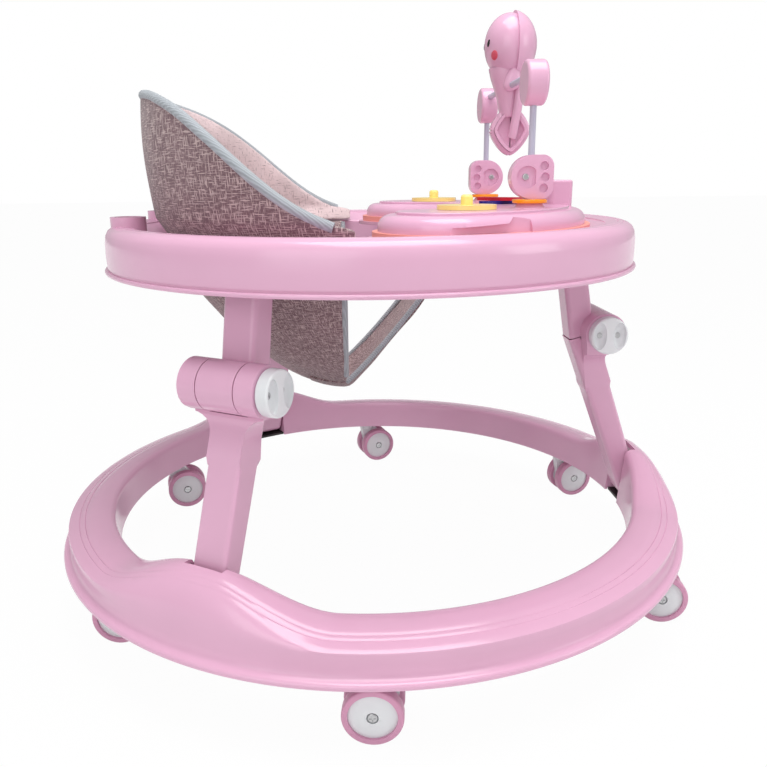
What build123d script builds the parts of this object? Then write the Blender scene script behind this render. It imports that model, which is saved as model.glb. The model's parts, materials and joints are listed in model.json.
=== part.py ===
from build123d import *
import os
from math import cos, radians, sin

# Baby walker: a wheeled base ring, three folding legs, a ring-shaped tray with a toy
# console, and a sewn seat.  Millimetres, +Z up, +X to the front, origin on the floor
# under the middle of the base ring.

# Fits
running_gap = 0.05
swivel_gap = 0.3
overcut = 10.0
seat_gap = 0.2
swing_gap = 1.0

# Base ring
lip_radius = 340.0
lip_height = 5.0
lip_reach = 7.0
ring_width = 49.0
ring_height = 38.0
ring_drop = -4.0
ring_lean = 4.0
ring_wall = 3.0
ring_round = 18.0
ring_inner_round = 8.0
hump_rise = 42.0
hump_flat = 22.0
hump_share = 0.1825

# Casters
caster_count = 6
caster_inset = 24.0
caster_phase = 30.0
caster_headings = (12, 18, 14, -6, 174, -8)
wheel_radius = 25.0
wheel_width = 11.0
tyre_depth = 5.0
hub_crown = 2.5
hub_recess = 5.0
hood_width = 10.0
hood_radius = 18.0
wheel_gap = 1.0
trail = 14.0
stem_radius = 4.0
axle_radius = 2.5
swivel_boss_radius = 9.0
swivel_boss_height = 6.0
socket_wall = 3.0
socket_length = 27.0

# Legs, in each leg's own upright plane: distance out from the middle and height
leg_angles = {"front": 0, "left": 120, "right": 240}
knob_sides = {"front": -1, "left": -1, "right": 1}
foot_inset = 14.0
foot_rise = 18.0
knee_out = 35.0
knee_drop = 89.0
eye_inset = 3.0
eye_rise = 11.0
leg_width = 34.0
leg_round = 5.0
foot_radius = 12.0
lower_knee_radius = 15.0
upper_knee_radius = 14.0
eye_radius = 13.0
eye_clear = 4.0
knee_offset = 20.0
drum_radius = 22.0
drum_length = 76.0
middle_knuckle = 37.0
yoke_drop = 62.0
yoke_offset = 14.0
yoke_shoulder = 15.4
pin_radius = 4.0
bracket_gap = 2.5
bracket_wall = 4.0
loose_pivot_gap = 2.6
knob_radius = 20.0
knob_thickness = 12.0
knob_round = 2.0
knob_grip = 7.0
knob_scoop = (7.0, 6.0, 14.5)
pin_seat = 4.5
knuckle_cap = 4.0

# Tray
tray_outer = 268.5
tray_width = 55.5
tray_bottom = 345.0
tray_height = 51.0
tray_inner_height = 32.0
tray_skirt = 3.0
tray_lip_reach = 3.5
tray_lip_height = 4.0
tray_wall = 3.0
tray_round = 20.0
tray_inner_round = 3.5

# Push-bar sockets at the back of the tray
bar_socket_radius = 16.5
bar_socket_bore = 12.0
bar_socket_length = 42.0
bar_socket_rise = 2.0
bar_socket_inset = 22.5
bar_socket_angles = (163, 197)

# Console
console_inset = 52.0
console_half_angle = 68.0
deck_width = 140.0
deck_thickness = 4.0
deck_sink = 0.5
gasket_width = 130.0
gasket_height = 6.0
console_width = 120.0
console_step = 16.0
console_lower = 14.5
console_upper = 2.5
console_wall = 3.0
console_round = 11.0
plateau_round = 1.2
scoop_angle = 66.0
scoop_depth = 7.0
scoop_rear = -45.0
scoop_front = 48.0
scoop_heights = (5.0, 8.0, 19.0)
scoop_peak = (20.0, 36.0, 44.0)
boss_base = 15.0
boss_top = 11.0
boss_height = 4.5
block_size = (24.0, 64.0, 27.0)
block_reach = 35.0
block_round = 5.0

# Dials and spinner
dial_radius = 27.0
dial_thickness = 4.0
dial_inset = 10.0
dial_angle = 57.0
peg_radius = 5.5
peg_height = 13.0
spigot_radius = 4.0
spigot_length = 5.0
spinner_inset = 23.0
spinner_length = 54.0
spinner_width = 11.0
spinner_thickness = 3.5
spinner_angles = (30.0, -40.0)

# Toy bar
recess_depth = 2.5
post_inset = 18.0
post_y = 112.0
collar_radius = 16.0
collar_flange = 3.5
paw_radius = 19.5
paw_thickness = 16.0
paw_stub = 6.0
toe_radius = 4.0
toe_circle = 12.5
toe_pitch = 10.5
paw_corner = 9.0
pad_radius = 10.0
pad_shift = 5.0
rod_radius = 3.0
rod_length = 42.0
rod_seat = 8.0
end_radius = 19.5
end_thickness = 19.0
end_round = 3.0
axle_reach = 5.0
axle_drop = 11.0
body_radius = 19.0
body_height = 40.0
body_below_axle = 28.0
head_radius = (25.0, 28.0, 31.0)
head_sink = 4.0
hood_rim = 2.5
hood_lean = 0.0
body_taper = 4.0
body_round = 4.0
hand_radius = 9.0
foot_size = (25.0, 18.0, 26.0)

# Seat
seat_flange = 4.0
back_thickness = 8.0
back_reach = 11.0
back_crown = 2.0
back_round = 2.5
back_rise = 170.0
wing_length = 204.0
wing_steps = ((124.0, 82.0), (59.0, 26.0))
sling_thickness = 4.0
sling_axis = -22.0
sling_margin = 9.0
sling_depth = 171.0
sling_shares = ((0.802, 0.614), (0.396, 0.158))
sling_slopes = (0.3, 0.7)
strap_width = 110.0
strap_seat = 40.0


def upright(angle, origin=(0, 0, 0)):
    """Upright plane: x points out along the angle, y points up."""
    a = radians(angle)
    return Plane(origin=origin, x_dir=(cos(a), sin(a), 0), z_dir=(sin(a), -cos(a), 0))


def polar(radius, angle, height=0.0):
    a = radians(angle)
    return (radius * cos(a), radius * sin(a), height)


def egg(radii, centre):
    """A round body with three different half sizes."""
    with BuildPart() as form:
        Sphere(1)
        scale(by=radii)
    return form.part.moved(Location(centre))


def write(part, name):
    part.label = name
    export_step(part, f"parts/{name}.step")


os.makedirs("parts", exist_ok=True)
standing = (Align.CENTER, Align.CENTER, Align.MIN)

# Values that follow from the driving sizes
ring_outer = lip_radius - lip_reach
hump_run = lip_radius * hump_share
ring_inner = ring_outer - ring_width
hood_top = 2 * wheel_radius + wheel_gap + swivel_boss_height
ring_bottom = hood_top - ring_drop
ring_top = ring_bottom + ring_height
caster_circle = ring_inner + caster_inset
tray_lip_radius = tray_outer + tray_lip_reach
tray_inner = tray_outer - tray_width
tray_wall_bottom = tray_bottom + tray_skirt
tray_crest = tray_bottom + tray_height
tray_inner_top = tray_bottom + tray_inner_height
base_pivot = (ring_inner + foot_inset, ring_bottom + foot_rise)
tray_pivot = (tray_inner + eye_inset, tray_bottom + eye_rise)
knee_pivot = (tray_pivot[0] + knee_out, tray_pivot[1] - knee_drop)
bar_socket_top = tray_crest + bar_socket_rise
bar_socket_circle = tray_outer - bar_socket_inset
console_mid = tray_inner - console_inset
block_place = console_mid + block_reach
dial_circle = console_mid - dial_inset
spinner_place = console_mid - spinner_inset
post_x = console_mid - post_inset
back_radius = tray_inner + back_reach
back_height = tray_bottom + back_rise
back_front = wing_length - back_radius
back_foot = tray_inner_top + seat_flange / 2 + seat_gap
flange_top = back_foot - seat_gap
flange_low = flange_top - seat_flange
sling_top_radius = tray_inner + sling_axis - sling_margin
sling_bottom = flange_top - sling_depth
wall_lean = ring_lean / (ring_top - ring_bottom)
bracket_inner = leg_width / 2 + bracket_gap
bracket_outer = bracket_inner + bracket_wall
deck_top = tray_inner_top + deck_thickness - deck_sink
gasket_top = deck_top + gasket_height
console_step_z = gasket_top + console_lower
console_top = console_step_z + console_upper
knee = Vector(*knee_pivot)
lower_run = (knee - Vector(*base_pivot)).normalized()
upper_run = (Vector(*tray_pivot) - knee).normalized()
lower_side = Vector(-lower_run.Y, lower_run.X)
upper_side = Vector(-upper_run.Y, upper_run.X)
split_run = (lower_run + upper_run).normalized()
tilt = Vector(0, 1).get_signed_angle(split_run, Vector(0, 0, 1))


# Base ring: an upturned channel with a hump over each leg
def ring_face(inset, top):
    with BuildSketch(Plane.XZ) as face:
        with BuildLine():
            floor = ring_bottom - inset
            rise = top - inset - ring_bottom
            Polyline(
                (ring_inner + inset, floor),
                (ring_outer - inset, floor),
                (ring_outer - inset - wall_lean * rise, top - inset),
                (ring_inner + inset + wall_lean * rise, top - inset),
                close=True,
            )
        make_face()
    return face.sketch


def hump_block(inset):
    start = ring_inner - overcut
    reach = lip_radius + overcut - start
    half = hump_flat - inset + hump_run
    base = ring_top - inset
    radius = (hump_run**2 + hump_rise**2) / (4 * hump_rise)
    with BuildPart() as block:
        with BuildSketch(Plane.YZ.offset(start)):
            with BuildLine():
                side = half - hump_run / 2
                mid = base + hump_rise / 2
                top = base + hump_rise
                right_foot = RadiusArc((half, base), (side, mid), radius)
                right_brow = RadiusArc(right_foot @ 1, (half - hump_run, top), -radius)
                crown = Line(right_brow @ 1, (hump_run - half, top))
                left_brow = RadiusArc(crown @ 1, (-side, mid), -radius)
                left_foot = RadiusArc(left_brow @ 1, (-half, base), radius)
                Polyline(left_foot @ 1, (-half, ring_bottom), (half, ring_bottom), (half, base))
            make_face()
        extrude(amount=reach)
    return block.part


def reach(edge):
    """Least and greatest distance of an edge from the middle axis."""
    spots = [Vector(point.X, point.Y).length for point in (edge @ 0, edge @ 0.5, edge @ 1)]
    return min(spots), max(spots)


def ring_form(inset):
    top = ring_top - inset
    middle = (ring_inner + ring_outer) / 2
    with BuildPart() as trim:
        with Locations((0, 0, top)):
            Cylinder(lip_radius, 2 * hump_rise, align=standing)
        for angle in leg_angles.values():
            add(hump_block(inset).rotate(Axis.Z, angle), mode=Mode.SUBTRACT)
    with BuildPart() as form:
        revolve(ring_face(inset, ring_top + 2 * hump_rise), axis=Axis.Z)
        add(trim.part, mode=Mode.SUBTRACT)
        brows = form.edges().filter_by(lambda e: (e @ 0.5).Z > top - swing_gap)
        fillet(brows.filter_by(lambda e: reach(e)[1] < middle), ring_inner_round - inset)
        brows = form.edges().filter_by(lambda e: (e @ 0.5).Z > top - swing_gap)
        fillet(brows.filter_by(lambda e: reach(e)[0] > middle), ring_round - inset)
    return form.part


def rib_pair(angle, inner, outer, low, high):
    """Two upright plates, one on each side of a leg."""
    with BuildPart() as ribs:
        for side in (-1, 1):
            middle = side * (bracket_inner + bracket_wall / 2)
            with BuildSketch(upright(angle).offset(middle)):
                with Locations(((inner + outer) / 2, (low + high) / 2)):
                    Rectangle(outer - inner, high - low)
            extrude(amount=bracket_wall / 2, both=True)
    return ribs.part


def cross_rods(pivot, radius, half_length):
    """A short round bar through every leg at a pivot."""
    with BuildPart() as rods:
        for angle in leg_angles.values():
            with BuildSketch(upright(angle)):
                with Locations(pivot):
                    Circle(radius)
            extrude(amount=half_length, both=True)
    return rods.part


def leg_slots(inner, outer, low, high):
    """Boxes that clear the width of every leg between two radii and two heights."""
    with BuildPart() as slots:
        for angle in leg_angles.values():
            with BuildSketch(upright(angle)):
                with Locations(((inner + outer) / 2, (low + high) / 2)):
                    Rectangle(outer - inner, high - low)
            extrude(amount=bracket_inner, both=True)
    return slots.part


hump_top = ring_top + hump_rise
caster_angles = [caster_phase + k * 360 / caster_count for k in range(caster_count)]
socket_bottom = hood_top + swivel_gap
socket_top = socket_bottom + socket_length
socket_radius = stem_radius + running_gap + socket_wall
boss_radius = socket_radius + ring_wall
boss_bottom = socket_bottom + socket_wall

with BuildPart() as ring_void:
    add(ring_form(ring_wall))
    for angle in leg_angles.values():
        ribs = rib_pair(angle, ring_inner - overcut, lip_radius, ring_bottom - overcut, hump_top)
        add(ribs, mode=Mode.SUBTRACT)
    for angle in caster_angles:
        with Locations(polar(caster_circle, angle, boss_bottom)):
            Cylinder(boss_radius, hump_top, align=standing, mode=Mode.SUBTRACT)

slot_back = base_pivot[0] + ring_wall
with BuildPart() as base_ring:
    add(ring_form(0))
    with BuildSketch(Plane.XZ) as lip:
        with Locations(((lip_radius + ring_outer - ring_wall) / 2, ring_bottom + lip_height / 2)):
            RectangleRounded(lip_radius - ring_outer + ring_wall, lip_height, lip_height / 2 - running_gap)
    revolve(axis=Axis.Z)
    add(ring_void.part, mode=Mode.SUBTRACT)
    slots = leg_slots(ring_inner - overcut, slot_back, ring_bottom - overcut, hump_top + overcut)
    add(slots, mode=Mode.SUBTRACT)
    add(cross_rods(base_pivot, pin_radius + running_gap, bracket_outer + swing_gap), mode=Mode.SUBTRACT)
    for angle in caster_angles:
        with Locations(polar(caster_circle, angle, boss_bottom)):
            bore_radius = socket_radius + running_gap
            Cylinder(bore_radius, socket_top - boss_bottom, align=standing, mode=Mode.SUBTRACT)
write(base_ring.part, "base_ring")

with BuildPart() as base_pivot_pins:
    add(cross_rods(base_pivot, pin_radius, bracket_outer))
write(base_pivot_pins.part, "base_pivot_pins")

# Dark liners that close the leg slots from below and behind
liner_floor = ring_bottom + ring_wall
with BuildPart() as slot_liners:
    for angle in leg_angles.values():
        with BuildSketch(upright(angle)):
            with BuildLine():
                back = base_pivot[0] + foot_radius + 2 * swing_gap
                Polyline(
                    (ring_inner + ring_wall, ring_bottom),
                    (back + ring_wall, ring_bottom),
                    (back + ring_wall, ring_top),
                    (back, ring_top),
                    (back, liner_floor),
                    (ring_inner + ring_wall, liner_floor),
                    close=True,
                )
            make_face()
        extrude(amount=bracket_inner, both=True)
write(slot_liners.part, "slot_liners")

with BuildPart() as caster_sockets:
    for angle in caster_angles:
        with Locations(polar(caster_circle, angle, socket_bottom)):
            Cylinder(swivel_boss_radius, socket_wall, align=standing)
            Cylinder(socket_radius, socket_length, align=standing)
            Cylinder(stem_radius + running_gap, socket_length, align=standing, mode=Mode.SUBTRACT)
write(caster_sockets.part, "caster_sockets")

# Casters: a hood between two wheels, swivelling on a stem
wheel_inner = hood_width / 2 + wheel_gap
wheel_outer = wheel_inner + wheel_width
hub_radius = wheel_radius - tyre_depth
crown_radius = (hub_radius**2 + hub_crown**2) / (2 * hub_crown)
stem_bottom = wheel_radius + axle_radius + 2 * wheel_gap


def wheel_pair(plane, radius, bore):
    """Two discs on the axle, one on each side of the hood."""
    with BuildPart() as pair:
        for side in (-1, 1):
            with BuildSketch(plane.offset(side * (wheel_inner + wheel_width / 2))):
                with Locations((trail, wheel_radius)):
                    Circle(radius)
                    Circle(bore, mode=Mode.SUBTRACT)
            extrude(amount=wheel_width / 2, both=True)
    return pair.part


for number, (angle, heading) in enumerate(zip(caster_angles, caster_headings), 1):
    side_plane = upright(heading, polar(caster_circle, angle))
    swivel = polar(caster_circle, angle, hood_top - swivel_boss_height)

    with BuildPart() as hood:
        with BuildSketch(side_plane):
            with Locations((trail, wheel_radius)):
                Circle(hood_radius)
            with Locations((0, hood_top - swivel_boss_height / 2)):
                Rectangle(2 * swivel_boss_radius, swivel_boss_height)
            make_hull()
        extrude(amount=hood_width / 2, both=True)
        with Locations(swivel):
            Cylinder(swivel_boss_radius, swivel_boss_height, align=standing)
        with BuildSketch(side_plane):
            with Locations((trail, wheel_radius)):
                Circle(axle_radius + running_gap)
        extrude(amount=hood_width, both=True, mode=Mode.SUBTRACT)
        with Locations(polar(caster_circle, angle, stem_bottom)):
            Cylinder(stem_radius + running_gap, hood_top, align=standing, mode=Mode.SUBTRACT)
    write(hood.part, f"caster_{number}_hood")

    with BuildPart() as pins:
        with Locations(polar(caster_circle, angle, stem_bottom)):
            Cylinder(stem_radius, socket_top - stem_bottom - swing_gap, align=standing)
        with BuildSketch(side_plane):
            with Locations((trail, wheel_radius)):
                Circle(axle_radius)
        extrude(amount=wheel_outer - hub_crown, both=True)
    write(pins.part, f"caster_{number}_pins")

    with BuildPart() as hubs:
        add(wheel_pair(side_plane, hub_radius, axle_radius + running_gap))
        for side in (-1, 1):
            crown_middle = (trail, wheel_radius, side * (wheel_outer - crown_radius))
            with Locations(side_plane.from_local_coords(crown_middle)):
                Sphere(crown_radius, mode=Mode.INTERSECT)
            with BuildSketch(side_plane.offset(side * wheel_outer)):
                with Locations((trail, wheel_radius)):
                    Circle(hub_recess)
            extrude(amount=-side * hub_crown, mode=Mode.SUBTRACT)
    write(hubs.part, f"caster_{number}_hubs")

    with BuildPart() as tyres:
        add(wheel_pair(side_plane, wheel_radius, hub_radius + running_gap))
        rims = tyres.edges().filter_by(GeomType.CIRCLE).filter_by(lambda e: e.radius > hub_radius + 1)
        fillet(rims, tyre_depth / 3)
    write(tyres.part, f"caster_{number}_tyres")


# Legs: a lower bar with a forked knee, an upper bar with the middle knuckle
def along(start, run, side, forward, sideways):
    point = Vector(*start) + run * forward + side * sideways
    return (point.X, point.Y)


lower_knee = along(knee_pivot, lower_run, lower_side, 0, knee_offset)
upper_knee = along(knee_pivot, upper_run, upper_side, 0, knee_offset)
yoke_foot = along(knee_pivot, lower_run, lower_side, -yoke_drop, yoke_offset)
knuckle_half = middle_knuckle / 2


def leg_bar(plane, start, start_radius, end, end_radius):
    """A tapered bar with rounded ends and softened edges."""
    with BuildPart() as bar:
        with BuildSketch(plane):
            with Locations(start):
                Circle(start_radius)
            with Locations(end):
                Circle(end_radius)
            make_hull()
        extrude(amount=leg_width / 2, both=True)
        flat_faces = bar.faces().filter_by(Axis(plane.origin, plane.z_dir))
        fillet(flat_faces.edges(), leg_round)
    return bar.part


def knee_half(plane, forward):
    """Everything on one side of the knee's parting line."""
    size = 4 * drum_length
    with BuildPart() as half:
        with BuildSketch(plane):
            shift = forward * (size / 2 - swing_gap / 2)
            middle = knee + split_run * shift
            with Locations(Location((middle.X, middle.Y, 0), (0, 0, tilt))):
                Rectangle(size, size)
        extrude(amount=drum_length, both=True)
    return half.part


def knee_disc(plane, radius, low, high):
    with BuildPart() as disc:
        with BuildSketch(plane.offset(low)):
            with Locations(knee_pivot):
                Circle(radius)
        extrude(amount=high - low)
    return disc.part


def knee_yoke(plane):
    """The fork that carries the two outer knuckles and narrows down to the bar."""
    with BuildPart() as yoke:
        with BuildSketch(plane):
            with Locations(knee_pivot):
                Circle(drum_radius)
            with Locations(yoke_foot):
                Circle(upper_knee_radius)
            make_hull()
        extrude(amount=drum_length / 2, both=True)
        across = Plane(origin=plane.from_local_coords((0, 0, 0)), x_dir=plane.z_dir, z_dir=-plane.x_dir)
        with BuildSketch(across):
            with BuildLine():
                low = yoke_foot[1] - upper_knee_radius
                Polyline(
                    (-leg_width / 2 + leg_round, low),
                    (leg_width / 2 - leg_round, low),
                    (drum_length / 2, knee_pivot[1] - yoke_shoulder),
                    (drum_length / 2, knee_pivot[1] + drum_radius),
                    (-drum_length / 2, knee_pivot[1] + drum_radius),
                    (-drum_length / 2, knee_pivot[1] - yoke_shoulder),
                    close=True,
                )
            make_face()
        extrude(amount=-2 * lip_radius, mode=Mode.INTERSECT)
    return yoke.part


for leg, angle in leg_angles.items():
    plane = upright(angle)
    knob_side = -knob_sides[leg]
    middle_clear = knuckle_half + swing_gap
    plain_end = -knob_side * (drum_length / 2 - knuckle_cap)
    pin_end = knob_side * (drum_length / 2 + pin_seat)

    with BuildPart() as lower_leg:
        add(leg_bar(plane, base_pivot, foot_radius, lower_knee, lower_knee_radius))
        add(knee_half(plane, 1), mode=Mode.SUBTRACT)
        add(knee_yoke(plane))
        add(knee_disc(plane, drum_radius + swing_gap, -middle_clear, middle_clear), mode=Mode.SUBTRACT)
        add(knee_disc(plane, pin_radius + running_gap, plain_end, pin_end), mode=Mode.SUBTRACT)
        add(cross_rods(base_pivot, pin_radius + running_gap, bracket_outer), mode=Mode.SUBTRACT)
    write(lower_leg.part, f"lower_leg_{leg}")

    pivot_gap = running_gap if leg == "front" else loose_pivot_gap
    with BuildPart() as upper_leg:
        add(leg_bar(plane, tray_pivot, eye_radius, upper_knee, upper_knee_radius))
        add(knee_half(plane, -1), mode=Mode.SUBTRACT)
        add(knee_disc(plane, drum_radius, -knuckle_half, knuckle_half))
        add(knee_disc(plane, pin_radius + running_gap, -drum_length, drum_length), mode=Mode.SUBTRACT)
        add(cross_rods(tray_pivot, pin_radius + pivot_gap, bracket_outer), mode=Mode.SUBTRACT)
    write(upper_leg.part, f"upper_leg_{leg}")

    with BuildPart() as knee_pin:
        add(knee_disc(plane, pin_radius, plain_end, pin_end))
    write(knee_pin.part, f"knee_pin_{leg}")

    knob_face = knob_side * (drum_length / 2 + seat_gap)
    with BuildPart() as knob:
        with BuildSketch(plane.offset(knob_face)):
            with Locations(knee_pivot):
                Circle(knob_radius)
        extrude(amount=knob_side * knob_thickness)
        rims = knob.edges().filter_by(GeomType.CIRCLE)
        fillet(rims, knob_round)
        scoop = egg(knob_scoop, (0, 0, 0)).rotate(Axis.Z, angle)
        outer_face = knob_face + knob_side * knob_thickness
        for way in (-1, 1):
            place = (knee_pivot[0] + way * (knob_grip / 2 + knob_scoop[0]), knee_pivot[1], outer_face)
            add(scoop.moved(Location(plane.from_local_coords(place))), mode=Mode.SUBTRACT)
        with BuildSketch(plane.offset(knob_face)):
            with Locations(knee_pivot):
                Circle(pin_radius + running_gap)
        extrude(amount=knob_side * pin_seat, mode=Mode.SUBTRACT)
    write(knob.part, f"lock_knob_{leg}")


# Tray: an upturned channel ring with a front deck for the console
def tray_face(inset):
    floor = -overcut if inset else 0
    with BuildSketch(Plane.XZ) as face:
        with BuildLine():
            Polyline(
                (tray_inner + inset, tray_wall_bottom + floor),
                (tray_inner + inset, tray_inner_top - inset),
                (tray_outer - inset, tray_crest - inset),
                (tray_outer - inset, tray_bottom + floor),
                close=True,
            )
        make_face()
        corners = face.vertices().sort_by(Axis.Y)
        fillet(corners[-1], tray_round - inset)
        inner_corner = (tray_inner + inset, tray_inner_top - inset)
        fillet(face.vertices().sort_by_distance(inner_corner)[0], tray_inner_round)
    return face.sketch


def console_slot(half_angle, width, low, high):
    """A band that follows the front of the tray, with round ends."""
    with BuildPart() as band:
        with BuildSketch(Plane.XY.offset(low)):
            SlotArc(CenterArc((0, 0), console_mid, -half_angle, 2 * half_angle), width)
        extrude(amount=high - low)
    return band.part


bar_socket_low = bar_socket_top - bar_socket_length
bar_socket_places = [polar(bar_socket_circle, angle, bar_socket_low) for angle in bar_socket_angles]

with BuildPart() as tray_void:
    revolve(tray_face(tray_wall), axis=Axis.Z)
    for angle in leg_angles.values():
        ribs = rib_pair(angle, tray_inner - overcut, tray_lip_radius, tray_wall_bottom, tray_crest)
        add(ribs, mode=Mode.SUBTRACT)

with BuildPart() as tray:
    revolve(tray_face(0), axis=Axis.Z)
    with BuildSketch(Plane.XZ) as bead:
        with Locations(((tray_lip_radius + tray_outer - tray_wall) / 2, tray_bottom + tray_lip_height / 2)):
            bead_round = tray_lip_height / 2 - running_gap
            RectangleRounded(tray_lip_radius - tray_outer + tray_wall, tray_lip_height, bead_round)
    revolve(axis=Axis.Z)
    add(tray_void.part, mode=Mode.SUBTRACT)
    slot_end = tray_pivot[0] + eye_radius + eye_clear
    slot_top = tray_pivot[1] + eye_radius + eye_clear / 2
    add(leg_slots(tray_inner - overcut, slot_end, tray_bottom - overcut, slot_top), mode=Mode.SUBTRACT)
    for angle in leg_angles.values():
        for side in (-1, 1):
            with BuildSketch(upright(angle).offset(side * (bracket_inner + bracket_wall / 2))):
                with Locations(tray_pivot):
                    Circle(2 * pin_radius)
            extrude(amount=bracket_wall / 2, both=True)
    add(console_slot(console_half_angle, deck_width, deck_top - deck_thickness, deck_top))
    add(cross_rods(tray_pivot, pin_radius + running_gap, bracket_outer + swing_gap), mode=Mode.SUBTRACT)
    for place in bar_socket_places:
        with Locations(place):
            Cylinder(bar_socket_radius + running_gap, bar_socket_length, align=standing, mode=Mode.SUBTRACT)
write(tray.part, "tray")

with BuildPart() as tray_pivot_pins:
    add(cross_rods(tray_pivot, pin_radius, bracket_outer))
write(tray_pivot_pins.part, "tray_pivot_pins")

# Two tubes through the back of the tray for a push bar
with BuildPart() as push_bar_sockets:
    for place in bar_socket_places:
        with Locations(place):
            Cylinder(bar_socket_radius, bar_socket_length, align=standing)
            Cylinder(bar_socket_bore, bar_socket_length, align=standing, mode=Mode.SUBTRACT)
write(push_bar_sockets.part, "push_bar_sockets")

# Console: a coral gasket under a stepped housing that follows the front of the tray
with BuildPart() as console_gasket:
    add(console_slot(console_half_angle, gasket_width, deck_top, gasket_top))
    add(tray.part, mode=Mode.SUBTRACT)
write(console_gasket.part, "console_gasket")

dial_places = {"left": polar(dial_circle, dial_angle), "right": polar(dial_circle, -dial_angle)}
post_places = [(post_x, post_y), (post_x, -post_y)]
upper_width = console_width - 2 * console_step


def console_side(side):
    """Upright plane just inside the outer wall of one lobe, x towards the front, z outwards."""
    a = side * radians(scoop_angle)
    origin = polar(console_mid + console_width / 2 - scoop_depth, side * scoop_angle)
    return Plane(origin=origin, x_dir=(abs(sin(a)), -side * cos(a), 0), z_dir=(cos(a), sin(a), 0))


with BuildPart() as console:
    add(console_slot(console_half_angle, console_width, gasket_top, console_step_z))
    fillet(console.faces().sort_by(Axis.Z)[-1].edges(), console_round)
    add(console_slot(console_half_angle, upper_width, gasket_top, console_top))
    fillet(console.faces().sort_by(Axis.Z)[-1].edges(), plateau_round)
    with BuildSketch(Plane.XY.offset(console_step_z)):
        with Locations((block_place, 0)):
            RectangleRounded(block_size[0], block_size[1], block_round)
    extrude(amount=block_size[2])
    fillet(console.faces().sort_by(Axis.Z)[-1].edges(), block_round / 2)
    for x, y in post_places:
        with Locations((x, y, console_top)):
            Cone(boss_base, boss_top, boss_height, align=standing)
    for side in (-1, 1):
        with BuildSketch(console_side(side)):
            with BuildLine():
                Polyline(
                    (scoop_rear, gasket_top - gasket_height),
                    (scoop_rear, gasket_top + scoop_heights[0]),
                    (scoop_peak[0], gasket_top + scoop_heights[1]),
                    (scoop_peak[1], gasket_top + scoop_heights[2]),
                    (scoop_peak[2], gasket_top + scoop_heights[2]),
                    (scoop_front, gasket_top - gasket_height),
                    close=True,
                )
            make_face()
        extrude(amount=console_width, mode=Mode.SUBTRACT)
    hollow = console_slot(console_half_angle, upper_width, gasket_top, console_step_z - console_wall)
    add(hollow, mode=Mode.SUBTRACT)
    for place in dial_places.values():
        with Locations((place[0], place[1], console_top)):
            Cylinder(spigot_radius + running_gap, 4 * spigot_length, mode=Mode.SUBTRACT)
    with Locations((spinner_place, 0, console_top)):
        Cylinder(spigot_radius + running_gap, 4 * spigot_length, mode=Mode.SUBTRACT)
    for x, y in post_places:
        with Locations((x, y, console_top)):
            Cylinder(paw_stub + running_gap, boss_height, align=standing, mode=Mode.SUBTRACT)
write(console.part, "console")


# Dials and a crossed spinner that turn on spigots in the housing
for name, place in dial_places.items():
    with BuildPart() as dial:
        with Locations((place[0], place[1], console_top - spigot_length)):
            Cylinder(spigot_radius, spigot_length + dial_thickness, align=standing)
        with Locations((place[0], place[1], console_top + seat_gap)):
            Cylinder(dial_radius, dial_thickness, align=standing)
            Cylinder(peg_radius, peg_height, align=standing)
        fillet(dial.edges().filter_by(GeomType.CIRCLE).sort_by(Axis.Z)[-1], peg_radius / 2)
    write(dial.part, f"dial_{name}")

with BuildPart() as spinner_blue:
    with Locations((spinner_place, 0, console_top - spigot_length)):
        Cylinder(spigot_radius, spigot_length + spinner_thickness, align=standing)
    with BuildSketch(Plane.XY.offset(console_top + seat_gap)):
        with Locations(Location((spinner_place, 0, 0), (0, 0, spinner_angles[0]))):
            SlotOverall(spinner_length, spinner_width)
    extrude(amount=spinner_thickness)
write(spinner_blue.part, "spinner_blue")

with BuildPart() as spinner_red:
    with BuildSketch(Plane.XY.offset(console_top + seat_gap + spinner_thickness)):
        with Locations(Location((spinner_place, 0, 0), (0, 0, spinner_angles[1]))):
            SlotOverall(spinner_length, spinner_width)
    extrude(amount=spinner_thickness)
write(spinner_red.part, "spinner_red")

# Toy bar: collars, paw-shaped feet, rods, end blocks and a cross axle
paw_bottom = console_top + boss_height + collar_flange + seat_gap
paw_centre = paw_bottom + paw_radius
rod_bottom = paw_centre + paw_radius - rod_seat
block_bottom = rod_bottom + rod_seat + rod_length
block_top = block_bottom + 2 * end_radius
toy_axle = block_top - axle_drop
axle_length = 2 * (post_y + axle_reach)

with BuildPart() as post_collars:
    for x, y in post_places:
        with Locations((x, y, console_top + boss_height)):
            Cylinder(collar_radius, collar_flange, align=standing)
            Cylinder(paw_stub + running_gap, collar_flange, align=standing, mode=Mode.SUBTRACT)
    rims = post_collars.edges().filter_by(GeomType.CIRCLE).filter_by(lambda e: e.radius > boss_top)
    fillet(rims, collar_flange / 3)
write(post_collars.part, "post_collars")

with BuildPart() as post_paws:
    for (x, y), toes in zip(post_places, (-1, 1)):
        with BuildSketch(Plane.XZ.offset(-y)):
            with Locations((x, paw_centre)):
                Circle(paw_radius)
            with Locations(*[(x + toes * paw_corner, paw_centre + way * paw_corner) for way in (-1, 1)]):
                Circle(paw_radius - paw_corner)
            make_hull()
        extrude(amount=paw_thickness / 2, both=True)
        with Locations((x, y, console_top + seat_gap)):
            Cylinder(paw_stub, paw_radius, align=standing)
        for side in (-1, 1):
            with BuildSketch(Plane.XZ.offset(-y + side * paw_thickness / 2)):
                with Locations(*[(x + toes * toe_circle, paw_centre + t * toe_pitch) for t in (-1, 0, 1)]):
                    Circle(toe_radius)
                with Locations((x - toes * pad_shift, paw_centre)):
                    Circle(pad_radius)
                with Locations((x + toes * pad_radius, paw_centre)):
                    Rectangle(2 * pad_shift, 4 * pad_radius, mode=Mode.SUBTRACT)
            extrude(amount=-side * recess_depth, mode=Mode.SUBTRACT)
        with Locations((x, y, rod_bottom)):
            Cylinder(rod_radius + running_gap, rod_length, align=standing, mode=Mode.SUBTRACT)
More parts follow.
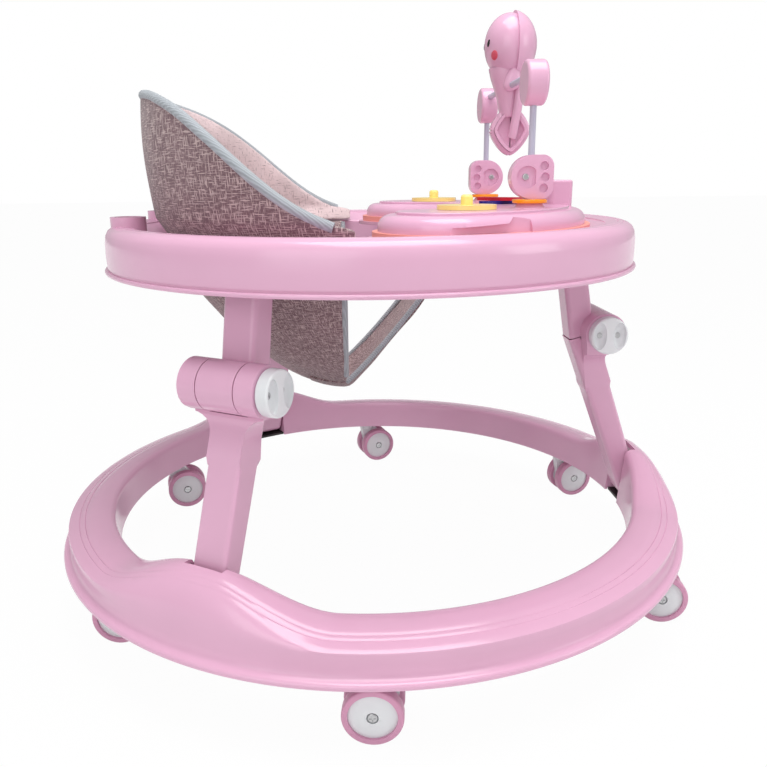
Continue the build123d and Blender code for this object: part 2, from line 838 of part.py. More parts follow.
write(post_paws.part, "post_paws")

with BuildPart() as toy_rods:
    for x, y in post_places:
        with Locations((x, y, rod_bottom)):
            Cylinder(rod_radius, rod_length + 2 * rod_seat, align=standing)
    with Locations((post_x, 0, toy_axle)):
        Cylinder(rod_radius, axle_length, rotation=(90, 0, 0))
write(toy_rods.part, "toy_rods")

with BuildPart() as end_blocks:
    for x, y in post_places:
        with Locations((x, y, block_bottom + end_radius)):
            Cylinder(end_radius, end_thickness, rotation=(0, 90, 0))
    fillet(end_blocks.edges().filter_by(GeomType.CIRCLE), end_round)
    for x, y in post_places:
        with Locations((x + end_thickness / 2, y, block_bottom + end_radius)):
            Cylinder(end_radius - 2 * end_round, 2 * recess_depth, rotation=(0, 90, 0), mode=Mode.SUBTRACT)
        with Locations((x, y, block_bottom)):
            Cylinder(rod_radius + running_gap, 2 * rod_seat, mode=Mode.SUBTRACT)
    with Locations((post_x, 0, toy_axle)):
        Cylinder(rod_radius + running_gap, axle_length, rotation=(90, 0, 0), mode=Mode.SUBTRACT)
write(end_blocks.part, "end_blocks")

# Tumbling figure on the cross axle: a round head in two shells, a body and a boat foot
body_bottom = toy_axle - body_below_axle
body_top = body_bottom + body_height
head_centre = body_top + head_radius[2] - head_sink

with BuildPart() as toy_body:
    with Locations((post_x, 0, body_bottom)):
        Cone(body_radius - body_taper, body_radius, body_height, align=standing)
    fillet(toy_body.edges().filter_by(GeomType.CIRCLE), body_round)
    for side in (-1, 1):
        with Locations((post_x - body_radius / 2, side * (body_radius - head_sink), toy_axle)):
            Sphere(hand_radius)
    with Locations((post_x, 0, toy_axle)):
        Cylinder(rod_radius + running_gap, 4 * body_radius, rotation=(90, 0, 0), mode=Mode.SUBTRACT)
write(toy_body.part, "toy_body")

hood_plane = Plane.YZ.offset(post_x + head_sink).rotated((0, hood_lean, 0))
with BuildPart() as toy_face:
    add(egg(head_radius, (post_x, 0, head_centre)))
    split(bisect_by=Plane.XY.offset(body_top))
    split(bisect_by=hood_plane, keep=Keep.BOTTOM)
write(toy_face.part, "toy_face")

with BuildPart() as toy_head_back:
    add(egg(tuple(size + hood_rim for size in head_radius), (post_x, 0, head_centre)))
    split(bisect_by=Plane.XY.offset(body_top))
    split(bisect_by=hood_plane, keep=Keep.TOP)
write(toy_head_back.part, "toy_head_back")

with BuildPart() as toy_foot:
    add(egg(foot_size, (post_x, 0, body_bottom)))
    split(bisect_by=Plane.XY.offset(body_bottom), keep=Keep.BOTTOM)
write(toy_foot.part, "toy_foot")

# Seat back: a padded panel round the rear half of the tray, its wings falling to the front
with BuildPart() as seat_back:
    with BuildSketch(Plane.XZ) as panel:
        with BuildLine():
            crown_z = (tray_crest + back_height) / 2
            foot_inner = tray_inner - seat_flange - back_thickness
            lean = back_radius - seat_flange
            sole = Line((foot_inner, back_foot), (foot_inner + back_thickness, back_foot))
            heel = Line(sole @ 1, (lean, tray_crest))
            shoulder = (back_radius, back_height)
            outside = ThreePointArc(heel @ 1, (back_radius + back_crown, crown_z), shoulder)
            rim = Line(outside @ 1, (back_radius - back_thickness, back_height))
            hollow = (back_radius - back_thickness - 2 * back_crown, crown_z)
            inside = ThreePointArc(rim @ 1, hollow, (lean - back_thickness, tray_crest))
            Line(inside @ 1, sole @ 0)
        make_face()
    revolve(axis=Axis.Z)
    with BuildSketch(Plane.XZ) as wing:
        with BuildLine():
            edge = Spline(
                (back_front, tray_crest - seat_flange),
                *[(ahead - back_radius, back_height - drop) for ahead, drop in wing_steps],
                (-back_radius - overcut, back_height),
                tangents=((-1, 0.15), (-1, 0.15)),
            )
            Polyline(edge @ 1, (-back_radius - overcut, back_foot), (back_front, back_foot), edge @ 0)
        make_face()
    extrude(amount=lip_radius, both=True, mode=Mode.INTERSECT)
    fillet(seat_back.edges().filter_by(lambda e: (e @ 0.5).Z > tray_crest), back_round)
write(seat_back.part, "seat_back")

# Seat sling: half a bowl under the tray with a crotch strap up to the deck
(mid_share, mid_level), (low_share, low_level) = sling_shares
sling_mid = (mid_share * sling_top_radius, sling_bottom + mid_level * sling_depth)
sling_low = (low_share * sling_top_radius, sling_bottom + low_level * sling_depth)
with BuildPart() as seat_sling:
    with BuildSketch(Plane.XZ) as bowl:
        with BuildLine():
            mid_shift = sling_thickness * sling_slopes[0]
            low_shift = sling_thickness * sling_slopes[1]
            outer = Spline(
                (sling_axis - sling_top_radius, flange_top),
                (sling_axis - sling_mid[0], sling_mid[1]),
                (sling_axis - sling_low[0], sling_low[1]),
                (sling_axis, sling_bottom),
                tangents=((sling_slopes[0], -1), (1, 0)),
            )
            inner = Spline(
                (sling_axis, sling_bottom + sling_thickness),
                (sling_axis - sling_low[0] + low_shift, sling_low[1] + low_shift),
                (sling_axis - sling_mid[0] + sling_thickness, sling_mid[1] + mid_shift),
                (sling_axis - sling_top_radius + sling_thickness, flange_top),
                tangents=((-1, 0), (-sling_slopes[0], 1)),
            )
            Line(outer @ 1, inner @ 0)
            Line(inner @ 1, outer @ 0)
        make_face()
    revolve(axis=Axis((sling_axis, 0, 0), (0, 0, 1)))
    with BuildSketch(Plane.XY.offset(flange_low)):
        Circle(tray_inner - seat_gap)
        with Locations((sling_axis, 0)):
            Circle(sling_top_radius - sling_thickness / 2, mode=Mode.SUBTRACT)
    extrude(amount=seat_flange)
    split(bisect_by=Plane.YZ.offset(sling_axis), keep=Keep.BOTTOM)
    deck_edge = console_mid - deck_width / 2 + seat_flange
    strap_low = sling_bottom
    strap_high = deck_top - deck_thickness - seat_gap
    with BuildSketch(Plane.XZ) as strap:
        with BuildLine():
            Polyline(
                (sling_axis - strap_seat, strap_low + sling_thickness * 2),
                (sling_axis - strap_seat, strap_low + sling_thickness),
                (sling_axis, strap_low),
                (deck_edge, strap_high),
                (deck_edge - 2 * sling_thickness, strap_high),
                (sling_axis - sling_thickness, strap_low + sling_thickness * 2),
                close=True,
            )
        make_face()
    extrude(amount=strap_width / 2, both=True)
write(seat_sling.part, "seat_sling")
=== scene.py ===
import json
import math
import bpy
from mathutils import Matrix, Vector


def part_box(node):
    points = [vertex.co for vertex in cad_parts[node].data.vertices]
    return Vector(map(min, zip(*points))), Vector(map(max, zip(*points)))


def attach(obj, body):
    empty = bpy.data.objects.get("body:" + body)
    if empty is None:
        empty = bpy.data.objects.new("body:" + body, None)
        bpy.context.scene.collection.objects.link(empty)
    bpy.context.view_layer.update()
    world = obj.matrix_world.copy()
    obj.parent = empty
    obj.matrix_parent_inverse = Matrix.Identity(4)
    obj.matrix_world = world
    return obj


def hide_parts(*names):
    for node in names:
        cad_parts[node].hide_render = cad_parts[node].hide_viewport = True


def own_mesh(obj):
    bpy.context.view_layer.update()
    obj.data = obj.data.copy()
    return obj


bl_info = {
    "name": "Baby walker",
    "version": (1, 0, 0),
    "blender": (4, 5, 0),
    "location": "View3D > Sidebar > Walker",
    "description": "Dresses the walker's frame with its sewn seat, finishes, fasteners and a studio",
    "category": "Object",
}

import bpy
from bpy.props import FloatProperty, FloatVectorProperty, PointerProperty
from mathutils import Matrix, Vector, noise

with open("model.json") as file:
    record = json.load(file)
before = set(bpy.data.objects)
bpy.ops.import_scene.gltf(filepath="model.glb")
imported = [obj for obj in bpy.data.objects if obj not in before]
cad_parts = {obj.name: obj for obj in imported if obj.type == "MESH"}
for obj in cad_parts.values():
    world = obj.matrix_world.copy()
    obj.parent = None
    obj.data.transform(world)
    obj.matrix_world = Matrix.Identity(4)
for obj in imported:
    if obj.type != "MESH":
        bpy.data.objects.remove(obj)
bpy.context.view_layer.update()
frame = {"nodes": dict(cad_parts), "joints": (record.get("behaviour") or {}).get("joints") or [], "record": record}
nodes = frame["nodes"]
joints = {joint["name"]: joint for joint in frame["joints"]}


def linear(code):
    """An sRGB hex colour as linear red, green and blue."""
    parts = [int(code[i : i + 2], 16) / 255 for i in (0, 2, 4)]
    return tuple(c / 12.92 if c <= 0.04045 else ((c + 0.055) / 1.055) ** 2.4 for c in parts)


def colour(name, text, code):
    return FloatVectorProperty(
        name=name, description=text, subtype="COLOR", size=3, min=0, max=1, default=linear(code)
    )


def length(name, text, size):
    return FloatProperty(name=name, description=text, default=size, min=0, unit="LENGTH")


class WalkerColours(bpy.types.PropertyGroup):
    pink: colour("Pink", "Moulded rings, legs and console", "E2B0CB")
    tyre: colour("Tyre", "Soft pink of the wheel tyres", "D79BB9")
    white: colour("White", "Knobs, hubs and caster hoods", "E6E9EB")
    coral: colour("Coral", "Soft gasket under the console", "F2A094")
    yellow: colour("Yellow", "Dials", "FAE68C")
    orange: colour("Orange", "Collars under the toy posts", "FF9A14")
    blue: colour("Blue", "Lower spinner bar", "10107C")
    red: colour("Red", "Upper spinner bar", "C81E32")
    lilac: colour("Rod grey", "Rods of the toy bar", "BEBED0")
    # Near-black finish for the frame's dark parts inside the leg slots.
    liner: colour("Liner", "Dark liners in the leg slots", "2A2426")
    cloth: colour("Cloth", "Ground of the heathered linen", "755A60")
    thread: colour("Thread", "Pale slub threads of the linen", "C6B0AE")
    # The seat's inside is the same linen as the cloth, painted paler: painted light for its lit side.
    painted_lit_cloth: colour("Painted lit cloth", "Inside of the seat", "D9C4C5")
    tape: colour("Tape", "Binding on the cloth's edges", "ABB1B7")
    eye: colour("Eye", "Eyes of the toy figure", "1C1416")
    cheek: colour("Cheek", "Cheeks of the toy figure", "D8566A")


class WalkerSizes(bpy.types.PropertyGroup):
    tape_radius: length("Tape radius", "Half the width of the rolled binding", 0.0044)
    slub_length: length("Slub length", "Length of a pale thread in the linen", 0.011)
    slub_width: length("Slub width", "Width of a pale thread in the linen", 0.0012)
    wrinkle: length("Wrinkle", "Height of the soft folds in the sling", 0.004)
    puff: length("Puff", "Most that the seat back's padding swells", 0.0025)
    screw: length("Screw", "Radius of a screw head", 0.0042)


def fill(node, values):
    for socket, value in values.items():
        node.inputs[socket].default_value = value


def put(tree, kind, links=(), values=None, **settings):
    """Adds one node with its settings, socket values and incoming links."""
    made = tree.nodes.new(kind)
    for name, value in settings.items():
        setattr(made, name, value)
    fill(made, values or {})
    for socket, source in links:
        tree.links.new(made.inputs[socket], source)
    return made


def finish(name):
    """A new material, its node tree and its shader."""
    material = bpy.data.materials.new(name)
    material.use_nodes = True
    return material, material.node_tree, material.node_tree.nodes["Principled BSDF"]


def tint(rgb, factor):
    return tuple(min(1, c * factor) for c in rgb) + (1,)


def work(tree, operation, links, values=None):
    """The result of one sum."""
    return put(tree, "ShaderNodeMath", links, values, operation=operation).outputs[0]


def grain(tree, place, scale, detail):
    """Soft noise in a piece's own space."""
    values = {"Scale": scale, "Detail": detail}
    return put(tree, "ShaderNodeTexNoise", [("Vector", place)], values).outputs["Fac"]


def shades(tree, share, rgb, low, high):
    """A colour that runs between a darker and a lighter shade of itself."""
    ends = {6: tint(rgb, low), 7: tint(rgb, high)}
    return put(tree, "ShaderNodeMix", [(0, share)], ends, data_type="RGBA").outputs[2]


def relief(tree, shader, height, strength, distance):
    """Gives a shader fine bumps."""
    bump = put(tree, "ShaderNodeBump", [("Height", height)], {"Strength": strength, "Distance": distance})
    tree.links.new(shader.inputs["Normal"], bump.outputs["Normal"])


def show(tree, output, share, first, second):
    """Mixes two shaders into a tree's output."""
    mixed = put(tree, "ShaderNodeMixShader", [(0, share), (1, first), (2, second)])
    tree.links.new(tree.nodes[output].inputs["Surface"], mixed.outputs[0])


# Injection-moulded polypropylene: soft gloss, faint cloudy flow marks and a fine orange peel.
# Flow marks are about 70 mm across and the peel about 2 mm.
def moulding(name, rgb, roughness, peel=0.012):
    material, tree, shader = finish(name)
    place = put(tree, "ShaderNodeTexCoord").outputs["Object"]
    flow = grain(tree, place, 14, 3)
    tree.links.new(shader.inputs["Base Color"], shades(tree, flow, rgb, 0.95, 1.04))
    gloss = put(
        tree,
        "ShaderNodeMapRange",
        [("Value", grain(tree, place, 45, 5))],
        {"From Min": 0.3, "From Max": 0.7, "To Min": roughness * 0.92, "To Max": roughness * 1.1},
    )
    tree.links.new(shader.inputs["Roughness"], gloss.outputs["Result"])
    relief(tree, shader, grain(tree, place, 500, 2), peel, 0.0004)
    fill(shader, {"IOR": 1.49})
    return material


# Drawn steel wire and zinc-plated screws: bright, with fine turning marks.
def plated_steel():
    material, tree, shader = finish("plated_steel")
    place = put(tree, "ShaderNodeTexCoord").outputs["Object"]
    marks = grain(tree, place, 900, 2)
    gloss = put(tree, "ShaderNodeMapRange", [("Value", marks)], {"To Min": 0.22, "To Max": 0.42})
    tree.links.new(shader.inputs["Roughness"], gloss.outputs["Result"])
    fill(shader, {"Base Color": (0.55, 0.55, 0.56, 1), "Metallic": 1})
    return material


# The radius where the linen's run round the seat is measured, and how softly a pale thread ends.
seat_radius = 0.21
thread_edge = 0.16


# Heathered linen: a dark ground crossed by pale uneven slub threads both ways, matt with a faint sheen.
# The threads run round the seat and up it.
def linen(name, ground, thread, share):
    sizes = bpy.context.scene.walker_sizes
    material, tree, shader = finish(name)
    place = put(tree, "ShaderNodeTexCoord").outputs["Object"]
    parts = put(tree, "ShaderNodeSeparateXYZ", [(0, place)])
    turn = work(tree, "ARCTAN2", [(0, parts.outputs["Y"]), (1, parts.outputs["X"])])
    around = work(tree, "MULTIPLY", [(0, turn)], {1: seat_radius})
    flat = put(tree, "ShaderNodeVectorMath", [(0, place)], {1: (1, 1, 0)}, operation="MULTIPLY")
    reach = put(tree, "ShaderNodeVectorMath", [(0, flat.outputs[0])], operation="LENGTH").outputs["Value"]
    upward = work(tree, "ADD", [(0, parts.outputs["Z"]), (1, reach)])
    long_way = 1 / sizes.slub_length
    cross_way = 1 / sizes.slub_width
    threads = []
    for across, along, seed in ((long_way, cross_way, 0.0), (cross_way, long_way, 7.0)):
        u = work(tree, "MULTIPLY", [(0, around)], {1: across})
        v = work(tree, "MULTIPLY", [(0, upward)], {1: along})
        spot = put(tree, "ShaderNodeCombineXYZ", [("X", u), ("Y", v)], {"Z": seed})
        slub = put(
            tree,
            "ShaderNodeTexNoise",
            [("Vector", spot.outputs[0])],
            {"Scale": 1, "Detail": 2, "Roughness": 0.6},
        )
        threads.append(slub.outputs["Fac"])
    both = work(tree, "MAXIMUM", [(0, threads[0]), (1, threads[1])])
    pale = put(
        tree,
        "ShaderNodeMapRange",
        [("Value", both)],
        {"From Min": share, "From Max": share + thread_edge},
        interpolation_type="SMOOTHSTEP",
    )
    base = shades(tree, grain(tree, place, 22, 4), ground, 0.72, 1.3)
    dyed = put(
        tree,
        "ShaderNodeMix",
        [(0, pale.outputs["Result"]), (6, base)],
        {7: tint(thread, 1)},
        data_type="RGBA",
    )
    tree.links.new(shader.inputs["Base Color"], dyed.outputs[2])
    relief(tree, shader, both, 0.55, 0.0008)
    fill(shader, {"Roughness": 0.9, "Sheen Weight": 0.25})
    return material


# Polyester binding tape: fine diagonal twill.
def twill_tape():
    colours = bpy.context.scene.walker_colours
    material, tree, shader = finish("twill_tape")
    place = put(tree, "ShaderNodeTexCoord").outputs["Object"]
    rib = put(
        tree,
        "ShaderNodeTexWave",
        [("Vector", place)],
        {"Scale": 190, "Distortion": 1.5, "Detail": 1},
        bands_direction="DIAGONAL",
    ).outputs["Fac"]
    tree.links.new(shader.inputs["Base Color"], shades(tree, rib, colours.tape, 0.78, 1.05))
    relief(tree, shader, rib, 0.4, 0.0005)
    fill(shader, {"Roughness": 0.75, "Sheen Weight": 0.2})
    return material


def material_named(name, maker, *arguments):
    """Each finish is made once and shared."""
    return bpy.data.materials.get(name) or maker(*arguments)


def dress(piece, material):
    if not piece.data.materials:
        piece.data.materials.append(material)
    for slot in piece.material_slots:
        slot.material = material


def clear_choice():
    if bpy.context.object and bpy.context.object.mode != "OBJECT":
        bpy.ops.object.mode_set(mode="OBJECT")
    bpy.ops.object.select_all(action="DESELECT")


def choose(piece):
    clear_choice()
    piece.select_set(True)
    bpy.context.view_layer.objects.active = piece


def settle(piece, body, material):
    """Applies a piece's place, names its finish and lets it ride."""
    choose(piece)
    bpy.ops.object.transform_apply(location=True, rotation=True, scale=True)
    bpy.ops.object.shade_smooth_by_angle(angle=math.radians(40))
    dress(piece, material)
    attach(piece, body)
    return piece


def settle_pink(piece, body):
    settle(piece, body, bpy.data.materials["pink_polypropylene"])


def apply_modifier(piece, kind, **settings):
    choose(piece)
    modifier = piece.modifiers.new(kind.title(), kind)
    for name, value in settings.items():
        setattr(modifier, name, value)
    bpy.ops.object.modifier_apply(modifier=modifier.name)


def joint_place(name):
    joint = joints[name]
    return Vector(joint["pos_m"]), Vector(joint["axis"]).normalized()


def edit_all(piece):
    """Opens a piece for editing with everything in it chosen."""
    choose(piece)
    bpy.ops.object.mode_set(mode="EDIT")
    bpy.ops.mesh.select_all(action="SELECT")


def close_outward():
    """Turns every face outwards and ends the editing."""
    bpy.ops.mesh.select_all(action="SELECT")
    bpy.ops.mesh.normals_make_consistent(inside=False)
    bpy.ops.object.mode_set(mode="OBJECT")


def own_copy(node, name, join=0.00002):
    """A node's mesh as a new piece, with its loose triangles joined."""
    clear_choice()
    made = nodes[node].copy()
    made.data = nodes[node].data.copy()
    made.parent = None
    made.matrix_world = Matrix.Identity(4)
    for key in list(made.keys()):
        del made[key]
    made.name = name
    bpy.context.collection.objects.link(made)
    choose(made)
    bpy.ops.mesh.customdata_custom_splitnormals_clear()
    edit_all(made)
    bpy.ops.mesh.remove_doubles(threshold=join)
    bpy.ops.object.mode_set(mode="OBJECT")
    return made


def carve(piece, cutters):
    """Takes each cutter out of a piece and removes the cutter."""
    for cutter in cutters:
        apply_modifier(piece, "BOOLEAN", operation="DIFFERENCE", object=cutter, solver="EXACT")
        bpy.data.objects.remove(cutter)


def soften(piece, width, segments, degrees):
    """Rounds the edges that are sharper than an angle."""
    limit = math.radians(degrees)
    apply_modifier(piece, "BEVEL", width=width, segments=segments, limit_method="ANGLE", angle_limit=limit)


def block(low, high, turn=0):
    """A box between two corners, turned about the middle axis."""
    clear_choice()
    bpy.ops.mesh.primitive_cube_add(size=1)
    made = bpy.context.object
    middle = (Vector(low) + Vector(high)) / 2
    size = Vector(high) - Vector(low)
    around = Matrix.Rotation(turn, 4, "Z")
    made.matrix_world = around @ Matrix.Translation(middle) @ Matrix.Diagonal((*size, 1))
    bpy.ops.object.transform_apply(location=True, rotation=True, scale=True)
    return made


def facing(direction):
    """The turn that takes upwards to a direction."""
    return Vector((0, 0, 1)).rotation_difference(Vector(direction)).to_matrix().to_4x4()


def drum(radius, depth, place, axis, steps=48):
    """A plain round bar along an axis, as a start or a cutter."""
    clear_choice()
    bpy.ops.mesh.primitive_cylinder_add(vertices=steps, radius=radius, depth=depth)
    made = bpy.context.object
    made.matrix_world = Matrix.Translation(place) @ facing(axis)
    bpy.ops.object.transform_apply(location=True, rotation=True, scale=True)
    return made


def column(name, corners, levels, step):
    """A filled circle drawn up or down into a column, one unit for each level."""
    clear_choice()
    bpy.ops.mesh.primitive_circle_add(vertices=corners, radius=1, fill_type="NGON")
    made = bpy.context.object
    made.name = name
    edit_all(made)
    for _ in range(levels):
        bpy.ops.mesh.extrude_region_move(TRANSFORM_OT_translate={"value": (0, 0, step)})
    close_outward()
    return made


def sweep(name, rings, steps, middle=0):
    """A wall through rings of radius and height about an upright axis, left open for editing."""
    clear_choice()
    radius, height = rings[0]
    bpy.ops.mesh.primitive_circle_add(
        vertices=steps, radius=radius, fill_type="NOTHING", location=(middle, 0, height)
    )
    wall = bpy.context.object
    wall.name = name
    bpy.ops.object.transform_apply(location=True)
    edit_all(wall)
    for (r0, z0), (r1, z1) in zip(rings, rings[1:]):
        bpy.ops.mesh.extrude_edges_move(TRANSFORM_OT_translate={"value": (0, 0, z1 - z0)})
        bpy.ops.transform.resize(value=(r1 / r0, r1 / r0, 1), center_override=(middle, 0, z1))
    return wall


def lathe(name, section, steps):
    """A closed wall swept round the middle axis from a loop of radius and height pairs."""
    wall = sweep(name, section + section[:1], steps)
    bpy.ops.mesh.select_all(action="SELECT")
    bpy.ops.mesh.remove_doubles(threshold=0.00002)
    close_outward()
    return wall


class WALKER_OT_finishes(bpy.types.Operator):
    """Gives every moulded, steel and rubber part its finish"""

    bl_idname = "walker.finishes"
    bl_label = "Finishes"

    def execute(self, context):
        c = context.scene.walker_colours
        finishes = {
            "pink_plastic": moulding("pink_polypropylene", c.pink, 0.18),
            "white_plastic": moulding("white_polypropylene", c.white, 0.22),
            "pink_tyre": moulding("soft_pink_tyre", c.tyre, 0.42, 0.08),
            # The frame's dark parts inside the leg slots take a near-black finish.
            "dark_liner": moulding("dark_liner", c.liner, 0.6, 0.1),
            "coral_rubber": moulding("coral_rubber", c.coral, 0.45, 0.06),
            "yellow_plastic": moulding("yellow_abs", c.yellow, 0.2),
            "orange_plastic": moulding("orange_abs", c.orange, 0.2),
            "blue_plastic": moulding("blue_abs", c.blue, 0.2),
            "red_plastic": moulding("red_abs", c.red, 0.2),
            "steel": plated_steel(),
        }
        for part in frame["record"]["subparts"]:
            material = finishes.get(part["material_slot"])
            if material:
                dress(nodes[part["node"]], material)
        dress(nodes["toy_rods"], moulding("rod_plastic", c.lilac, 0.3))
        return {"FINISHED"}


# The seat back is held up to the first height above its lower edge. Ripples start at the second and
# grow over the third, and the binding sits a little below the top edge.
held_height = 0.022
ripple_start = 0.018
ripple_run = 0.03
tape_sink = Vector((0, 0, 0.0025))


def rim_path():
    """Points along the seat back's top edge, read off the frame's own panel from above."""
    panel = nodes["seat_back"]
    low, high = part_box("seat_back")
    tops = []
    for angle in range(92, 269, 4):
        a = math.radians(angle)
        hits = []
        for inset in range(2, 18):
            radius = -low.x - inset / 1000
            start = Vector((radius * math.cos(a), radius * math.sin(a), high.z + 0.1))
            found, spot, _, _ = panel.ray_cast(start, Vector((0, 0, -1)))
            if found and spot.z > low.z + 0.008:
                hits.append(spot)
        if hits:
            tops.append(max(hits, key=lambda spot: spot.z))
    path = []
    for before, here, after in zip(tops, tops[1:], tops[2:]):
        path.append((before + here * 2 + after) / 4 - tape_sink)
    return path


def tape_along(name, path, radius):
    """A rolled binding along a line of points."""
    clear_choice()
    bpy.ops.curve.primitive_nurbs_path_add()
    tape = bpy.context.object
    tape.name = name
    tape.data.splines.clear()
    spline = tape.data.splines.new("NURBS")
    spline.points.add(len(path) - 1)
    for point, spot in zip(spline.points, path):
        point.co = (*spot, 1)
    spline.order_u = 4
    spline.use_endpoint_u = True
    tape.data.dimensions = "3D"
    tape.data.bevel_depth = radius
    tape.data.bevel_resolution = 3
    tape.data.use_fill_caps = True
    tape.data.resolution_u = 3
    bpy.ops.object.convert(target="MESH")
    return bpy.context.object


class WALKER_OT_seat_back(bpy.types.Operator):
    """Pads the seat back and binds its edge"""

    bl_idname = "walker.seat_back"
    bl_label = "Seat back"

    def execute(self, context):
        sizes = context.scene.walker_sizes
        c = context.scene.walker_colours
        rim = rim_path()
        pad = own_copy("seat_back", "seat_back_pad", 0.0001)
        apply_modifier(pad, "REMESH", mode="VOXEL", voxel_size=0.003)
        start = [vertex.co.copy() for vertex in pad.data.vertices]
        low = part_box("seat_back")[0].z
        held = pad.vertex_groups.new(name="held")
        held.add([v.index for v in pad.data.vertices if v.co.z < low + held_height], 1, "ADD")
        cloth = pad.modifiers.new("Cloth", "CLOTH")
        cloth.settings.vertex_group_mass = "held"
        cloth.settings.use_pressure = True
        cloth.settings.uniform_pressure_force = 4
        cloth.settings.effector_weights.gravity = 0
        cloth.settings.quality = 4
        for number in range(1, 13):
            context.scene.frame_set(number)
        choose(pad)
        bpy.ops.object.modifier_apply(modifier="Cloth")
        context.scene.frame_set(1)
        for vertex, rest in zip(pad.data.vertices, start):
            move = vertex.co - rest
            if move.length > sizes.puff:
                move *= sizes.puff / move.length
            height = min(1, max(0, (rest.z - low - ripple_start) / ripple_run))
            ripple = noise.noise(Vector((rest.x * 16, rest.y * 16, rest.z * 9)))
            out = Vector((rest.x, rest.y, 0)).normalized()
            vertex.co = rest + move + out * ripple * height * sizes.wrinkle * 0.45
        outside = linen("heathered_linen", c.cloth, c.thread, 0.5)
        # A paler copy of the same linen for the inner faces: painted light where the cloth's inside is lit.
        inside = linen("painted_lit_linen", c.painted_lit_cloth, c.cloth, 0.58)
        settle(pad, "tray", outside)
        pad.data.materials.append(inside)
        # Faces turned inwards take the painted lit copy of the linen.
        for face in pad.data.polygons:
            inward = face.normal.x * face.center.x + face.normal.y * face.center.y < 0
            face.material_index = 1 if inward else 0
        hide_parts("seat_back")
        tape = tape_along("seat_back_binding", rim, sizes.tape_radius)
        settle(tape, "tray", material_named("twill_tape", twill_tape))
        return {"FINISHED"}


# Rings of the sling from the tray down, as radius and height.
tray_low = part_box("tray")[0].z
sling_rings = (
    (0.2115, tray_low + 0.0325),
    (0.1810, tray_low + 0.0320),
    (0.1760, tray_low + 0.0110),
    (0.1640, tray_low - 0.0100),
    (0.1460, tray_low - 0.0320),
    (0.1240, tray_low - 0.0600),
    (0.0990, tray_low - 0.0870),
    (0.0720, tray_low - 0.1085),
    (0.0420, tray_low - 0.1260),
    (0.0150, tray_low - 0.1340),
)
sling_middle = -0.030
sling_thickness = 0.0018
# Below this height the cloth is free to fold, fully so after fold_run.
fold_start = tray_low + 0.028
fold_run = 0.04
strap_half = 0.055
strap_thickness = 0.0022
strap_sag = 0.004
# The strap's middle line, as distance forwards and height.
strap_line = (
    (-0.070, tray_low - 0.1295),
    (-0.030, tray_low - 0.1345),
    (-0.004, tray_low - 0.1060),
    (0.048, tray_low - 0.0370),
    (0.090, tray_low + 0.0280),
)


def bowl(reach):
    """Height of the sling at a distance from its middle."""
    for (r0, z0), (r1, z1) in zip(sling_rings[1:], sling_rings[2:]):
        if reach >= r1:
            return z1 + (z0 - z1) * (reach - r1) / (r0 - r1)
    return sling_rings[-1][1]


def strap_height(x, y, z):
    """The strap lies on the bowl behind the sling's front edge and flattens ahead of it."""
    lift = bowl(math.hypot(min(0, x - sling_middle), y)) - sling_rings[-1][1]
    if x <= sling_middle:
        return sling_rings[-1][1] + lift - 0.002
    return z - 0.0015 + lift * max(0, 1 - (x - sling_middle) / 0.07)


class WALKER_OT_seat_sling(bpy.types.Operator):
    """Sews the sling, its strap and their bound edges"""

    bl_idname = "walker.seat_sling"
    bl_label = "Seat sling"

    def execute(self, context):
        sizes = context.scene.walker_sizes
        sling = sweep("seat_sling_cloth", sling_rings, 72, sling_middle)
        bpy.ops.mesh.extrude_edges_move(TRANSFORM_OT_translate={"value": (0, 0, -0.001)})
        bpy.ops.mesh.merge(type="CENTER")
        bpy.ops.mesh.select_all(action="SELECT")
        bpy.ops.mesh.bisect(plane_co=(sling_middle, 0, 0), plane_no=(1, 0, 0), clear_outer=True)
        close_outward()
        apply_modifier(sling, "SUBSURF", levels=2, render_levels=2)
        for vertex in sling.data.vertices:
            spot = vertex.co
            depth = min(1, max(0, (fold_start - spot.z) / fold_run))
            fold = noise.noise(Vector((spot.x * 14, spot.y * 20, spot.z * 5)))
            fold += 0.4 * noise.noise(Vector((spot.x * 40, spot.y * 40, spot.z * 16)))
            out = Vector((spot.x - sling_middle, spot.y, 0.0))
            out = out.normalized() if out.length > 0.004 else Vector((0, 0, -1))
            vertex.co = spot - out * abs(fold) * depth * sizes.wrinkle
        apply_modifier(sling, "SOLIDIFY", thickness=sling_thickness, offset=-1)
        cloth = bpy.data.materials["heathered_linen"]
        settle(sling, "tray", cloth)

        clear_choice()
        bpy.ops.mesh.primitive_grid_add(x_subdivisions=24, y_subdivisions=10, size=1)
        strap = context.object
        strap.name = "crotch_strap"
        spans = [math.dist(a, b) for a, b in zip(strap_line, strap_line[1:])]
        for vertex in strap.data.vertices:
            at = (vertex.co.x + 0.5) * sum(spans)
            across = vertex.co.y * 2
            for (a, b), span in zip(zip(strap_line, strap_line[1:]), spans):
                if at <= span + 1e-6:
                    break
                at -= span
            share = at / span
            x = a[0] + (b[0] - a[0]) * share
            z = a[1] + (b[1] - a[1]) * share
            sag = strap_sag * (1 - across * across)
            vertex.co = (x + sag, across * strap_half, strap_height(x, across * strap_half, z))
        apply_modifier(strap, "SUBSURF", levels=1, render_levels=1)
        apply_modifier(strap, "SOLIDIFY", thickness=strap_thickness, offset=0)
        settle(strap, "tray", cloth)

        tape = material_named("twill_tape", twill_tape)
        radius = sizes.tape_radius * 0.62
        bound = []
        for side, hand in ((-1, "right"), (1, "left")):
            arc = [(sling_middle, side * r, z) for r, z in sling_rings[1:-1] if r > strap_half * 0.9]
            bound.append(tape_along(f"leg_hole_binding_{hand}", arc, radius))
            edge = [(x, side * strap_half, strap_height(x, strap_half, z)) for x, z in strap_line[1:]]
            bound.append(tape_along(f"strap_binding_{hand}", edge, radius))
        for piece in bound:
            settle(piece, "tray", tape)
        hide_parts("seat_sling")
        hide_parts("seat_sling")
        for piece in (sling, strap, *bound):
            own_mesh(piece)
        return {"FINISHED"}


